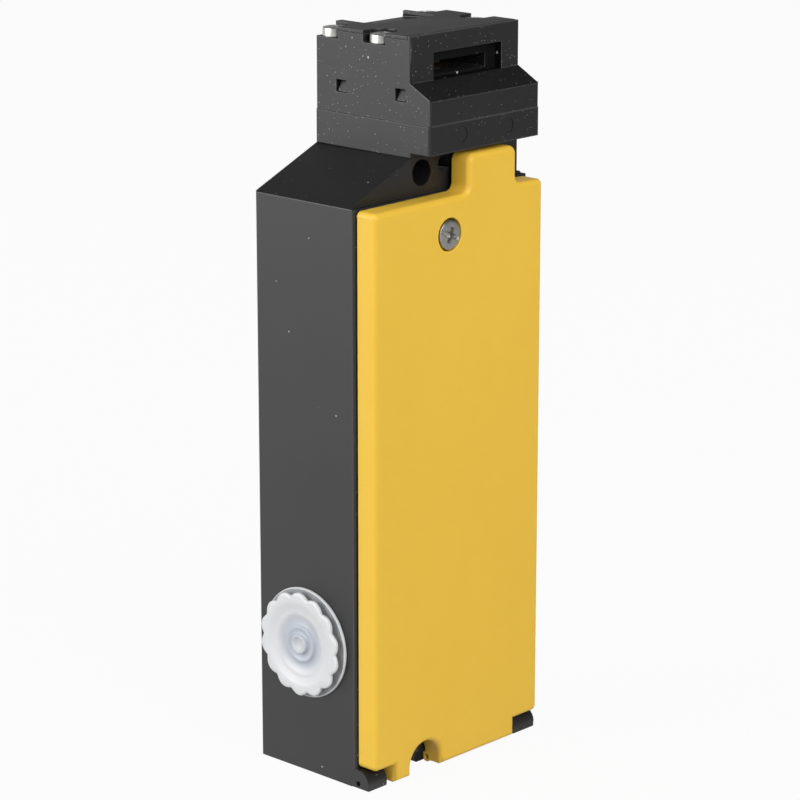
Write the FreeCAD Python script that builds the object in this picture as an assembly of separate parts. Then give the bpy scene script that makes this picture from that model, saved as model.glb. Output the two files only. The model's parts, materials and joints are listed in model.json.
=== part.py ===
import FreeCAD, Part
import math
import os

os.makedirs("parts", exist_ok=True)

V = FreeCAD.Vector

# Tongue interlock switch with solenoid guard locking.
# Millimetres.  x runs across the body, the back mounting face is y = 0, the cover looks along -y,
# and z = 0 is the bottom of the body.  x = 0 is the middle of the body's width.

# ---- body ----
body_width = 52.5
body_depth = 28.2
shoulder_height = 123.4
wall = 3.0
back_wall = 2.6
floor_wall = 2.6
rim_bottom = 10.0
roof_wall = 3.9
neck_step = 1.2
neck_height = 7.9
neck_inset = 0.4
edge_round = 0.6
ledge_width = 1.2
ledge_height = 0.5

# ---- cover ----
cover_gap = 0.3
cover_thickness = 4.9
cover_inset = 0.65
cover_bottom = 4.4
cover_skin = 2.4
cover_round = 1.2
shoulder_drop = 0.3
tab_inset = 10.6
tab_width = 14.8
tab_rise = 8.0
tab_round = 1.8
lug_bottom = 0.5
left_lug_gap = 1.05
right_lug_gap = 1.25
tray_margin = 1.2
tray_end = 3.0
tray_rib = 1.4
trays = 3

# ---- cover hinge ----
pin_behind = 0.45
pin_height = 1.1
pin_radius = 0.55
pin_depth = 1.0
short_pin_grip = 4.5
long_pin_grip = 8.0
ear_radius = 3.0
ear_root = 1.0
left_ear_width = 5.6
right_ear_width = 6.8
knuckle_radius = 1.05
knuckle_room = 0.7
running = 0.05
moving_gap = 0.3

# ---- fixings ----
fixing_radius = 2.75
upper_fixing_inset = 3.1
upper_fixing_rise = 4.5
lower_fixing_x = -9.95
lower_fixing_z = 2.3
access_radius = 4.65
boss_wall = 2.0
release_radius = 1.75
release_depth = 8.0
release_offset = (6.7, 0.9)

# ---- cover screw ----
cover_screw_x = -3.3
cover_screw_drop = 7.8
screw_pocket_radius = 3.5
screw_head_radius = 3.15
screw_head_height = 2.4
screw_shank_radius = 1.75
screw_sunk = 0.7
screw_length = 10.0
screw_gusset = 1.8

# ---- gasket ----
gasket_width = 1.6
gasket_groove = 1.2
gasket_side_gap = 0.05
gasket_low_gap = 0.2
gasket_high_gap = 0.8

# ---- cable entry ----
entry_back = 13.9
entry_z = 28.9
thread_minor = 9.19
thread_pitch = 1.5
thread_depth = 0.81
thread_start = 0.8
thread_turns = 5
entry_length = 9.0
entry_boss = 12.6
knock_out_radius = 10.4
knock_out_groove = 0.8
knock_out_depth = 1.2

# ---- dust plug ----
flange_radius = 11.9
flange_thickness = 0.7
flange_floor = 1.2
grip_radius = 10.9
grip_thickness = 0.9
grip_gap = 0.9
grip_neck_inset = 2.5
lobe_rise = 0.45
lobe_share = 0.62
lobes = 14
plug_wall = 0.9
plug_depth = 7.0
dish_radius = 8.7
well_radius = 6.4
dish_depth = 1.0
well_depth = 1.6
button_radius = 2.0
button_top = 0.7
ring_radius = 3.7
ring_top = 1.2
button_root = 2.0

# ---- head ----
head_side_gap = 1.35
head_width = 33.1
head_setback = 0.2
nose_setback = 1.0
nose_gap = 0.9
base_lip = 0.3
base_height = 7.0
nose_height = 5.1
nose_slope = 3.0
upper_height = 16.9
plate_thickness = 0.8
plate_setback = 1.0
head_round = 0.4
spigot_radius = 6.4
spigot_depth = 3.0

# ---- head latches ----
rear_latch_back = 7.25
front_latch_inset = 2.85
latch_width = 2.4
latch_thickness = 1.2
latch_cover = 1.3
latch_side_gap = 0.25
latch_bend_gap = 0.4
latch_low = 4.2
latch_height = 2.6
latch_end_gap = 0.2
latch_root = 1.0

# ---- head screws ----
head_screw_inset = 2.7
head_screw_back = 3.1
head_screw_pitch = 13.5
head_screw_shank = 1.5
head_screw_head = 2.75
head_screw_height = 2.0
head_screw_seat = 1.65
head_screw_bite = 4.8
head_screw_room = 0.1
hole_end = 1.0
screw_notch = 3.15

# ---- tongue slots ----
slot_offset = 4.6
slot_height = 2.9
slot_width = 16.4
mouth_width = 20.7
mouth_depth = 2.0
mouth_shift = 0.75
mouth_lintel = 3.2
scoop_width = 18.5
scoop_depth = 1.4
scoop_shift = 0.4
scoop_margin = 0.75

# ---- cam and plunger ----
cam_back = 12.0
cam_rise = 5.45
cam_radius = 8.0
cam_width = 12.4
cam_side_gap = 0.5
cam_turn = 45.0
cam_overrun = 2.0
cam_dwell_end = 80.0
cam_web = 2.0
waist_width = 1.8
waist_depth = 1.2
axle_radius = 2.0
axle_seat = 2.5
plunger_radius = 2.5
plunger_travel = 3.5
plunger_shoulder = 20.0
cam_gap = 0.15
stem_radius = 2.0
collar_radius = 3.9
collar_height = 1.6
seal_radius = 5.0
seal_height = 2.5
seal_lip = 0.8
seal_groove = 1.0

# ---- lock ----
lock_travel = 3.0
lock_drop = 23.5
lock_strip = 1.0
collar_gap = 0.4
tab_offset = 6.35
tab_thickness = 1.2
tab_half = 5.0
tab_end = 3.2
keyhole_margin = 2.0
keyhole_end = 2.2
yoke_wall_gap = 0.25
yoke_front_gap = 6.0
yoke_half = 9.2
yoke_plate = 1.5
bobbin_half = 7.9
bobbin_flange = 1.0
bobbin_bore_gap = 0.2
coil_gap = 0.7
core_radius = 5.2
core_length = 6.2
armature_radius = 4.0
armature_neck = 1.8
armature_shoulder = 0.8
spring_wire = 0.5
spring_turns = 4
lock_spring_radius = 4.8
plunger_spring_radius = 2.6

# ---- contact blocks ----
position_block_size = (23.0, 16.0, 26.0)
lock_block_width = 19.0
lock_block_depth = 14.0
lock_block_drop = 21.0
lock_block_gap = 3.5
lock_block_wall_gap = 1.75
block_spacing = 1.5
block_gap = 4.6
block_back = 3.0
foot_thickness = 1.5
tower_front = 3.2
slide_front = 1.5
slide_back_gap = 1.5
slide_foot = 1.6
slide_short = 3.9
stem_half_width = 1.5
socket_depth = 2.0
bridge_rise = 7.8
bridge_web = 1.2
bridge_thickness = 0.8
bridge_depth = 5.0
bridge_reach = 3.6
contact_thickness = 0.6
contact_gap = 0.2
contact_reach = 4.2
contact_start = 0.6
contact_side_gap = 0.2

# ---- terminals ----
terminal_inset = 4.6
terminal_radius = 2.3
terminal_recess = 2.4
terminal_head = 2.0
terminal_head_height = 1.4
terminal_shank = 1.2
terminal_shank_end = 0.01
clamp_half = 1.6
clamp_thickness = 0.6
supply_ways = 2
supply_pitch = 5.8
supply_height = 16.5
supply_depth = 12.0
supply_gap = 2.05
supply_drop = 5.5
wire_entry_half = 1.6
wire_entry_front = 4.0
wire_entry_depth = 4.0
wire_entry_top = 2.0

# ---- places worked out from the dimensions ----
half = body_width / 2
neck_depth = body_depth - neck_step
neck_top = shoulder_height + neck_height
rim_top = shoulder_height - roof_wall
cover_back = -(body_depth + cover_gap)
cover_front = cover_back - cover_thickness
cover_half = half - cover_inset
cover_top = shoulder_height - shoulder_drop
pin_y = cover_back - pin_behind
entry_y = -entry_back

head_depth = neck_depth - head_setback
head_nose = -cover_front - nose_setback
head_right = half - head_side_gap
head_left = head_right - head_width
head_centre = (head_left + head_right) / 2
neck_right = head_right - neck_inset
tab_left = head_left + tab_inset
tab_right = tab_left + tab_width
tab_top = shoulder_height + tab_rise
nose_bottom = tab_top + nose_gap
base_top = neck_top + base_height
nose_top = base_top + nose_height
nose_shoulder = nose_top + nose_slope
plate_bottom = base_top + upper_height
head_top = plate_bottom + plate_thickness
latch_window = (base_top + latch_low, base_top + latch_low + latch_height)
latch_places = (-rear_latch_back, -head_depth + front_latch_inset)
head_screw_floor = plate_bottom - head_screw_seat
head_screw_end = base_top - head_screw_bite

upper_fixing_x = head_left + upper_fixing_inset
upper_fixing_z = shoulder_height + upper_fixing_rise
left_ear_end = -half + left_ear_width
right_ear_end = half - right_ear_width
left_lug = (left_ear_end + left_lug_gap, lower_fixing_x - access_radius)
right_lug = (lower_fixing_x + access_radius, right_ear_end - right_lug_gap)
cover_screw_z = shoulder_height - cover_screw_drop
cover_screw_tip = cover_front + screw_sunk + screw_length

cam_y = -cam_back
cam_z = base_top + cam_rise
plunger_x = head_centre
cam_left = head_centre - cam_width / 2
cam_right = head_centre + cam_width / 2
cavity_half = cam_width / 2 + cam_side_gap
cavity_radius = cam_radius + cam_side_gap
axle_reach = cavity_half + axle_seat
dome_pitch = cam_radius + plunger_radius + cam_gap
dome_z = cam_z - dome_pitch
cam_rate = plunger_travel / math.radians(cam_turn)
cam_ramp_end = math.radians(cam_turn + cam_overrun)
slot_low = cam_z + slot_offset - slot_height / 2
slot_high = slot_low + slot_height
top_slot_front = cam_y + slot_offset - slot_height / 2
top_slot_back = top_slot_front + slot_height
scoop_front = top_slot_front - scoop_margin
scoop_left = head_centre + scoop_shift - scoop_width / 2
mouth_left = head_centre + mouth_shift - mouth_width / 2
spigot_bottom = neck_top - spigot_depth
seal_bottom = spigot_bottom - seal_height

lock_axis_z = rim_top - lock_drop
lock_plate_low = lock_axis_z - lock_strip / 2
collar_top = lock_plate_low - collar_gap
keyhole_radius = collar_radius + collar_gap
keyhole_half = stem_radius + moving_gap
tab_x = plunger_x - tab_offset
yoke_left = -half + wall + yoke_wall_gap
yoke_right = tab_x - yoke_front_gap
coil_left = yoke_left + yoke_plate
coil_right = yoke_right - yoke_plate
coil_radius = cam_back - back_wall - yoke_plate - coil_gap
core_right = coil_left + core_length
armature_left = core_right + lock_travel + moving_gap

lock_block_z = lock_axis_z - lock_block_drop
lock_block_x = tab_x - lock_block_gap
lock_block_low = lock_block_z - lock_block_width / 2
lock_block_length = lock_block_x + half - wall - lock_block_wall_gap
lock_block_size = (lock_block_width, lock_block_depth, lock_block_length)
position_block_z = lock_block_low - block_spacing - position_block_size[2]
slide_top = position_block_size[2] - slide_short
slide_bottom = bridge_rise - slide_foot
socket_bottom = position_block_z + slide_top - socket_depth
supply_right = plunger_x - position_block_size[0] / 2 - supply_gap
supply_left = supply_right - supply_ways * supply_pitch
supply_top = lock_block_low - supply_drop
supply_front = -back_wall - supply_depth

along_x = V(1, 0, 0)
along_y = V(0, 1, 0)
along_z = V(0, 0, 1)


# ---- plain solids ----
def box(x0, x1, y0, y1, z0, z1):
    return Part.makeBox(x1 - x0, y1 - y0, z1 - z0, V(x0, y0, z0))


def mirrored_box(x_pair, y0, y1, z0, z1):
    # the two x values come in either order, as they do on pieces that repeat on both sides
    return box(min(x_pair), max(x_pair), y0, y1, z0, z1)


def rod_x(radius, x0, x1, y, z):
    return Part.makeCylinder(radius, x1 - x0, V(x0, y, z), along_x)


def rod_y(radius, x, y0, y1, z):
    return Part.makeCylinder(radius, y1 - y0, V(x, y0, z), along_y)


def rod_z(radius, x, y, z0, z1):
    return Part.makeCylinder(radius, z1 - z0, V(x, y, z0), along_z)


def prism(points, direction):
    wire = Part.makePolygon(points + points[:1])
    return Part.Face(wire).extrude(direction)


def front_prism(outline, y0, y1):
    return prism([V(x, y0, z) for x, z in outline], V(0, y1 - y0, 0))


def side_prism(outline, x0, x1):
    return prism([V(x0, y, z) for y, z in outline], V(x1 - x0, 0, 0))


def fuse(shapes):
    result = shapes[0]
    for shape in shapes[1:]:
        result = result.fuse(shape)
    return result.removeSplitter()


def cut(shape, tools):
    for tool in tools:
        shape = shape.cut(tool)
    return shape


def straight(edge, direction):
    if edge.Curve.TypeId != "Part::GeomLine":
        return False
    return edge.Curve.Direction.cross(direction).Length < 1e-6


def round_edges(shape, radius, chosen):
    edges = [edge for edge in shape.Edges if chosen(edge)]
    return shape.makeFillet(radius, edges)


def round_at(shape, direction, places, radius):
    # rounds the straight edges along one direction that pass a listed point
    def chosen(edge):
        if not straight(edge, direction):
            return False
        point = edge.Vertexes[0].Point
        flat = point - direction * point.dot(direction)
        return any((flat - place).Length < 0.05 for place in places)
    return round_edges(shape, radius, chosen)


def headed_screw(head, height, shank, length, bevel, cuts, place, facing, turn):
    # made upright with the top of its head at the origin, then turned and moved into place
    solid = Part.makeCylinder(head, height - bevel, V(0, 0, -height))
    solid = solid.fuse(Part.makeCone(head, head - bevel, bevel, V(0, 0, -bevel)))
    solid = cut(solid.removeSplitter(), cuts)
    solid = solid.fuse(Part.makeCylinder(shank, length - height, V(0, 0, -length)))
    solid.rotate(V(0, 0, 0), along_z, turn)
    solid.Placement = FreeCAD.Placement(place, FreeCAD.Rotation(along_z, facing)) * solid.Placement
    return solid


def slot_cut(reach, width, depth, turn):
    slot = box(-reach, reach, -width / 2, width / 2, -depth, 0)
    slot.rotate(V(0, 0, 0), along_z, turn)
    return slot


def coil_spring(radius, start, axis, length):
    # a helix of six-sided wire, lofted through twelve sections a turn
    sides = 12
    steps = spring_turns * sides
    across = along_y
    other = axis.cross(across)
    sections = []
    for step in range(steps + 1):
        turn = 2 * math.pi * step / sides
        outward = across * math.cos(turn) + other * math.sin(turn)
        rise = spring_wire / 2 + (length - spring_wire) * step / steps
        centre = start + outward * radius + axis * rise
        corners = []
        for corner in range(6):
            angle = math.pi * corner / 3
            swing = outward * math.cos(angle) + axis * math.sin(angle)
            corners.append(centre + swing * (spring_wire / 2))
        sections.append(Part.makePolygon(corners + corners[:1]))
    return Part.makeLoft(sections, True, True)


# ---- housing ----
def body_outline():
    ledge_right = neck_right + ledge_width
    ledge_top = shoulder_height + ledge_height
    return [
        (-half, 0), (half, 0), (half, shoulder_height), (ledge_right, shoulder_height),
        (ledge_right, ledge_top), (neck_right, ledge_top), (neck_right, neck_top),
        (head_left, neck_top), (-half, shoulder_height),
    ]


def hinge_ear(x0, x1):
    root_y = -body_depth + ear_root
    rounded = rod_x(ear_radius, x0, x1, pin_y, pin_height)
    foot = box(x0, x1, pin_y - ear_radius, root_y, 0, pin_height)
    root = box(x0, x1, pin_y, root_y, 0, pin_height + ear_radius)
    below = box(x0, x1, pin_y - ear_radius, root_y, -ear_radius, 0)
    return fuse([rounded, foot, root]).cut(below)


def fixing_arch(radius, y0, y1):
    # an upright opening with a round top over the lower fixing, open at the bottom of the body
    arch = rod_y(radius, lower_fixing_x, y0, y1, lower_fixing_z)
    legs = box(lower_fixing_x - radius, lower_fixing_x + radius, y0, y1, 0, lower_fixing_z)
    above_floor = box(lower_fixing_x - radius, lower_fixing_x + radius, y0, y1, 0, lower_fixing_z + radius)
    return arch.fuse(legs).common(above_floor)


def entry_thread():
    # ring grooves stand for the thread's turns
    shapes = [rod_x(thread_minor, -half, -half + entry_length, entry_y, entry_z)]
    for turn in range(thread_turns):
        x = -half + thread_start + turn * thread_pitch
        flank = thread_pitch / 2
        crest = thread_minor + thread_depth
        shapes.append(Part.makeCone(thread_minor, crest, flank, V(x, entry_y, entry_z), along_x))
        shapes.append(Part.makeCone(crest, thread_minor, flank, V(x + flank, entry_y, entry_z), along_x))
    return fuse(shapes)


def knock_out():
    # the ring groove round the blank entry on the right side
    outer = rod_x(knock_out_radius, half - knock_out_depth, half, entry_y, entry_z)
    inner = rod_x(knock_out_radius - knock_out_groove, half - knock_out_depth, half, entry_y, entry_z)
    return outer.cut(inner)


def housing():
    shape = front_prism(body_outline(), 0, -body_depth)
    corners = [V(x, y, 0) for x in (-half, half) for y in (0, -body_depth)]
    shape = round_at(shape, along_z, corners, edge_round)
    recess = box(-half, half, -body_depth, -neck_depth, shoulder_height, neck_top)
    chamber = box(-half + wall, half - wall, -body_depth, -back_wall, rim_bottom, rim_top)
    sump = box(-half + wall, half - wall, -body_depth + wall, -back_wall, floor_wall, rim_bottom)
    shape = cut(shape, [recess, chamber, sump])
    entry = rod_x(entry_boss, -half, -half + entry_length, entry_y, entry_z)
    entry = entry.common(box(-half, 0, -body_depth, 0, 0, neck_top))
    boss_front = -body_depth + ear_root
    screw_boss = rod_y(screw_shank_radius + boss_wall, cover_screw_x, boss_front, 0, cover_screw_z)
    gusset = box(cover_screw_x - screw_gusset / 2, cover_screw_x + screw_gusset / 2, boss_front, 0,
                 cover_screw_z, rim_top)
    ears = [hinge_ear(-half, left_ear_end), hinge_ear(right_ear_end, half)]
    arch = fixing_arch(fixing_radius + boss_wall, -body_depth, 0)
    return cut(fuse([shape, arch, entry, screw_boss, gusset] + ears), housing_cuts())


def housing_cuts():
    release_x = upper_fixing_x + release_offset[0]
    release_z = upper_fixing_z + release_offset[1]
    return [
        rod_x(knuckle_radius + knuckle_room, left_ear_end, right_ear_end, pin_y, pin_height),
        rod_x(pin_radius, -half, left_ear_end, pin_y, pin_height),
        rod_x(pin_radius, right_ear_end, half, pin_y, pin_height),
        rod_y(fixing_radius, upper_fixing_x, -body_depth, 0, upper_fixing_z),
        fixing_arch(fixing_radius, -body_depth, 0),
        rod_y(release_radius, release_x, -neck_depth, -neck_depth + release_depth, release_z),
        rod_y(screw_shank_radius, cover_screw_x, -body_depth, cover_screw_tip + hole_end, cover_screw_z),
        rod_z(plunger_radius + running, plunger_x, cam_y, rim_top, neck_top),
        rod_z(seal_radius, plunger_x, cam_y, seal_bottom, neck_top),
        rod_z(spigot_radius, plunger_x, cam_y, spigot_bottom, neck_top),
        entry_thread(),
        knock_out(),
    ]


# ---- cover ----
def cover_outline():
    return [
        (-cover_half, cover_bottom), (left_lug[0], cover_bottom), (left_lug[0], lug_bottom),
        (right_lug[1], lug_bottom), (right_lug[1], cover_bottom), (cover_half, cover_bottom),
        (cover_half, cover_top), (tab_right, shoulder_height), (tab_right, tab_top),
        (tab_left, tab_top), (tab_left, shoulder_height), (-cover_half, cover_top),
    ]


def knuckle(x0, x1):
    web = box(x0, x1, cover_back, pin_y + knuckle_radius, lug_bottom, pin_height + knuckle_radius)
    return rod_x(knuckle_radius, x0, x1, pin_y, pin_height).fuse(web)


def cover():
    shape = front_prism(cover_outline(), cover_back, cover_front)
    tab_corners = [V(x, 0, z) for x in (tab_left, tab_right) for z in (tab_top, shoulder_height)]
    plate_corners = [V(x, 0, z) for x in (-cover_half, cover_half) for z in (cover_top, cover_bottom)]
    shape = round_at(shape, along_y, tab_corners, tab_round)
    shape = round_at(shape, along_y, plate_corners, cover_round)
    access = rod_y(access_radius, lower_fixing_x, cover_front, cover_back, lower_fixing_z)
    way_out = box(left_lug[1], right_lug[0], cover_front, cover_back, lug_bottom, lower_fixing_z)
    shape = cut(shape, [access, way_out]).removeSplitter()

    def on_front(edge):
        return all(abs(vertex.Y - cover_front) < 0.01 for vertex in edge.Vertexes)
    shape = round_edges(shape, cover_round, on_front)
    head_seat = cover_front + screw_sunk + screw_head_height
    pocket = rod_y(screw_pocket_radius, cover_screw_x, cover_front, head_seat, cover_screw_z)
    screw_hole = rod_y(screw_shank_radius + moving_gap, cover_screw_x, cover_front, cover_back, cover_screw_z)
    groove = gasket_ring(cover_back - gasket_groove, cover_back)
    knuckles = [knuckle(*left_lug), knuckle(*right_lug)]
    pin_hole = rod_x(pin_radius + running, left_lug[0], right_lug[1], pin_y, pin_height)
    shape = cut(shape, [pocket, screw_hole, groove] + cover_trays())
    return fuse([shape] + knuckles).cut(pin_hole)


def cover_trays():
    # shallow trays behind the front skin, with a rib between each pair
    reach = half - wall - tray_margin
    low = rim_bottom + tray_end
    high = cover_screw_z - screw_pocket_radius - tray_end
    height = (high - low - (trays - 1) * tray_rib) / trays
    solids = []
    for tray in range(trays):
        z = low + tray * (height + tray_rib)
        solids.append(box(-reach, reach, cover_front + cover_skin, cover_back, z, z + height))
    return solids


def gasket_ring(y0, y1):
    x = half - wall + gasket_width + gasket_side_gap
    low = rim_bottom - gasket_width - gasket_low_gap
    high = rim_top + gasket_width + gasket_high_gap
    outer = box(-x, x, y0, y1, low, high)
    inner = box(-x + gasket_width, x - gasket_width, y0, y1, low + gasket_width, high - gasket_width)
    return outer.cut(inner)


def cover_screw():
    reach = screw_head_radius
    depth = screw_head_height / 2
    cuts = [slot_cut(reach, 0.8, depth, 0)]
    cuts += [slot_cut(reach * 0.55, 0.7, depth, turn) for turn in (45, 135)]
    place = V(cover_screw_x, cover_front + screw_sunk, cover_screw_z)
    return headed_screw(screw_head_radius, screw_head_height, screw_shank_radius - moving_gap, screw_length,
                        0.5, cuts, place, V(0, -1, 0), 20)


def hinge_pins():
    left = rod_x(pin_radius, -half + pin_depth, left_lug[0] + short_pin_grip, pin_y, pin_height)
    right = rod_x(pin_radius, right_lug[1] - long_pin_grip, half - pin_depth, pin_y, pin_height)
    return Part.makeCompound([left, right])


# ---- dust plug ----
def plug_rod(radius, x0, x1):
    return rod_x(radius, x0, x1, entry_y, entry_z)


def dust_plug():
    flange_front = -half - flange_thickness
    grip_back = flange_front - grip_gap
    grip_front = grip_back - grip_thickness
    body = fuse([
        plug_rod(flange_radius, flange_front, -half),
        plug_rod(thread_minor, -half, -half + plug_depth),
        plug_rod(grip_radius - grip_neck_inset, grip_back, flange_front),
        grip_disc(grip_front, grip_back),
    ])
    dish = Part.makeCone(dish_radius, well_radius, dish_depth, V(grip_front, entry_y, entry_z), along_x)
    well = plug_rod(well_radius, grip_front + dish_depth, grip_front + well_depth)
    hollow = plug_rod(thread_minor - plug_wall, -half + flange_floor, -half + plug_depth)
    button = plug_rod(button_radius, grip_front + button_top, grip_front + button_root)
    ring = plug_rod(ring_radius, grip_front + ring_top, grip_front + button_root)
    return fuse([cut(body, [dish, well, hollow]), ring, button])


def grip_disc(x0, x1):
    # a round disc with a ring of finger lobes
    lobe_radius = math.pi * grip_radius / lobes * lobe_share
    lobe_circle = grip_radius + lobe_rise - lobe_radius
    shapes = [plug_rod(grip_radius - lobe_rise, x0, x1)]
    for lobe in range(lobes):
        angle = 2 * math.pi * lobe / lobes
        y = entry_y + lobe_circle * math.cos(angle)
        z = entry_z + lobe_circle * math.sin(angle)
        shapes.append(rod_x(lobe_radius, x0, x1, y, z))
    return fuse(shapes)


# ---- head ----
def latch(side, y):
    # an upright finger with a wedge nose that shows in the window of the head's side wall
    face = head_centre + side * head_width / 2
    outer = face - side * latch_cover
    inner = outer - side * latch_thickness
    low, high = latch_window
    y0, y1 = y - latch_width / 2, y + latch_width / 2
    tip = high - latch_end_gap
    stem = mirrored_box((outer, inner), y0, y1, base_top - latch_root, tip)
    ledge = low + latch_end_gap / 2
    nose = [V(outer, y0, ledge), V(face - side * latch_end_gap, y0, ledge), V(outer, y0, tip)]
    return stem.fuse(prism(nose, V(0, latch_width, 0)))


def latch_room(side, y):
    face = head_centre + side * head_width / 2
    outer = face - side * latch_cover
    inner = outer - side * (latch_thickness + latch_bend_gap)
    reach = latch_width / 2 + latch_side_gap
    low, high = latch_window
    channel = mirrored_box((outer, inner), y - reach, y + reach, base_top, high)
    window = mirrored_box((face, outer), y - reach, y + reach, low, high)
    return channel.fuse(window)


def latch_spots():
    return [(side, y) for side in (-1, 1) for y in latch_places]


def screw_spots():
    reach = head_width / 2 - head_screw_inset
    rows = (-head_screw_back, -head_screw_back - head_screw_pitch)
    return [(head_centre + side * reach, y) for side in (-1, 1) for y in rows]


def head_base():
    left = head_left - base_lip
    right = head_right + base_lip
    block = box(left, right, -head_nose, 0, neck_top, base_top)
    block = round_at(block, along_z, [V(x, y, 0) for x in (left, right) for y in (0, -head_nose)], edge_round)
    under_nose = box(left, right, -head_nose, -neck_depth, neck_top, nose_bottom)
    shapes = [block.cut(under_nose), rod_z(spigot_radius, plunger_x, cam_y, spigot_bottom, neck_top)]
    for side in (-1, 1):
        seat = (head_centre + side * cavity_half, head_centre + side * axle_reach)
        shapes.append(mirrored_box(seat, cam_y - axle_radius, cam_y + axle_radius, base_top - latch_root,
                                   cam_z - axle_radius))
    shapes += [latch(side, y) for side, y in latch_spots()]
    cam_room = box(head_centre - cavity_half, head_centre + cavity_half, cam_y - cavity_radius,
                   cam_y + cavity_radius, cam_z - cavity_radius, cam_z)
    bore = rod_z(plunger_radius + running, plunger_x, cam_y, spigot_bottom, cam_z)
    holes = [rod_z(head_screw_shank, x, y, head_screw_end - hole_end, base_top) for x, y in screw_spots()]
    return cut(fuse(shapes), [cam_room, bore] + holes)


def head_profile():
    return [
        (0, base_top), (-head_nose, base_top), (-head_nose, nose_top), (-head_depth, nose_shoulder),
        (-head_depth, plate_bottom), (0, plate_bottom),
    ]


def notch(x, y, low, high):
    # a screw seat, open to the nearer side wall, and to the back as well on the rear pair
    side = -1 if x < head_centre else 1
    face = head_centre + side * head_width / 2
    shapes = [rod_z(screw_notch, x, y, low, high),
              mirrored_box((x, face), y - screw_notch, y + screw_notch, low, high)]
    if y == -head_screw_back:
        shapes.append(mirrored_box((x - side * screw_notch, face), y, 0, low, high))
    return fuse(shapes)


def scoop(low, high):
    # the sloping run-in behind the top slot
    profile = [(0, head_top - scoop_depth), (scoop_front, head_top - scoop_depth / 2),
               (scoop_front, head_top), (0, head_top)]
    ramp = side_prism(profile, scoop_left, scoop_left + scoop_width)
    return ramp.common(box(scoop_left, scoop_left + scoop_width, scoop_front, 0, low, high))


def slot_at(y0, y1, z0, z1):
    return box(head_centre - slot_width / 2, head_centre + slot_width / 2, y0, y1, z0, z1)


def head_body():
    block = side_prism(head_profile(), head_left, head_right)
    corners = [V(x, y, 0) for x in (head_left, head_right) for y in (0, -head_nose, -head_depth)]
    block = round_at(block, along_z, corners, head_round)
    tools = [
        rod_x(cavity_radius, head_centre - cavity_half, head_centre + cavity_half, cam_y, cam_z),
        box(head_centre - cavity_half, head_centre + cavity_half, cam_y - cavity_radius, cam_y + cavity_radius,
            base_top, cam_z),
        rod_x(axle_radius, head_centre - axle_reach, head_centre + axle_reach, cam_y, cam_z),
        box(head_centre - axle_reach, head_centre + axle_reach, cam_y - axle_radius, cam_y + axle_radius,
            base_top, cam_z),
        box(mouth_left, mouth_left + mouth_width, -head_depth, -head_depth + mouth_depth, nose_shoulder,
            plate_bottom - mouth_lintel),
        slot_at(-head_depth, cam_y, slot_low, slot_high),
        slot_at(top_slot_front, top_slot_back, cam_z, plate_bottom),
        scoop(base_top, plate_bottom),
    ]
    tools += [latch_room(side, y) for side, y in latch_spots()]
    shank_room = head_screw_shank + head_screw_room
    tools += [rod_z(shank_room, x, y, base_top, plate_bottom) for x, y in screw_spots()]
    tools += [notch(x, y, head_screw_floor, plate_bottom) for x, y in screw_spots()]
    return cut(block, tools)


def head_plate():
    plate = box(head_left, head_right, -head_depth + plate_setback, 0, plate_bottom, head_top)
    tools = [notch(x, y, plate_bottom, head_top) for x, y in screw_spots()]
    tools += [scoop(plate_bottom, head_top), slot_at(top_slot_front, top_slot_back, plate_bottom, head_top)]
    return cut(plate, tools)


def head_screws():
    head_high = head_screw_floor + head_screw_height
    cuts = [slot_cut(head_screw_head * 0.6, 0.7, head_screw_height / 2, turn) for turn in (0, 90)]
    screws = [headed_screw(head_screw_head, head_screw_height, head_screw_shank, head_high - head_screw_end,
                           0.3, cuts, V(x, y, head_high), along_z, 25 + 40 * number)
              for number, (x, y) in enumerate(screw_spots())]
    return Part.makeCompound(screws)


# ---- cam, axle and plunger ----
def cam_point(angle, rate):
    # the follower's centre comes nearer to the axle at a steady rate as the cam turns, and the
    # cam's edge is that path moved inwards by the follower's radius and the gap
    radius = dome_pitch - cam_rate * min(angle, cam_ramp_end)
    away = V(0, math.sin(angle), -math.cos(angle))
    along = V(0, math.cos(angle), math.sin(angle))
    normal = away * radius + along * rate
    normal.normalize()
    return V(cam_left - 1, cam_y, cam_z) + away * radius - normal * (plunger_radius + cam_gap)


def cam_relief():
    # what is cut from the round cam: the ramp, the dwell after it and the step back to full radius
    steps = 12
    ramp = Part.BSplineCurve()
    ramp.interpolate([cam_point(cam_ramp_end * step / steps, cam_rate) for step in range(steps + 1)])
    dwell_end = math.radians(cam_dwell_end)
    dwell = [cam_point(angle, 0) for angle in (cam_ramp_end, (cam_ramp_end + dwell_end) / 2, dwell_end)]
    centre = V(cam_left - 1, cam_y, cam_z)
    reach = 1.5 * cam_radius
    corners = [
        dwell[2], centre + V(0, math.sin(dwell_end), -math.cos(dwell_end)) * reach,
        centre + V(0, reach, -reach), centre + V(0, -cam_radius / 2, -reach), ramp.StartPoint,
    ]
    edges = [ramp.toShape(), Part.makeLine(ramp.EndPoint, dwell[0]), Part.Arc(*dwell).toShape()]
    edges += [Part.makeLine(first, second) for first, second in zip(corners, corners[1:])]
    return Part.Face(Part.Wire(edges)).extrude(V(cam_width + 2, 0, 0))


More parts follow.
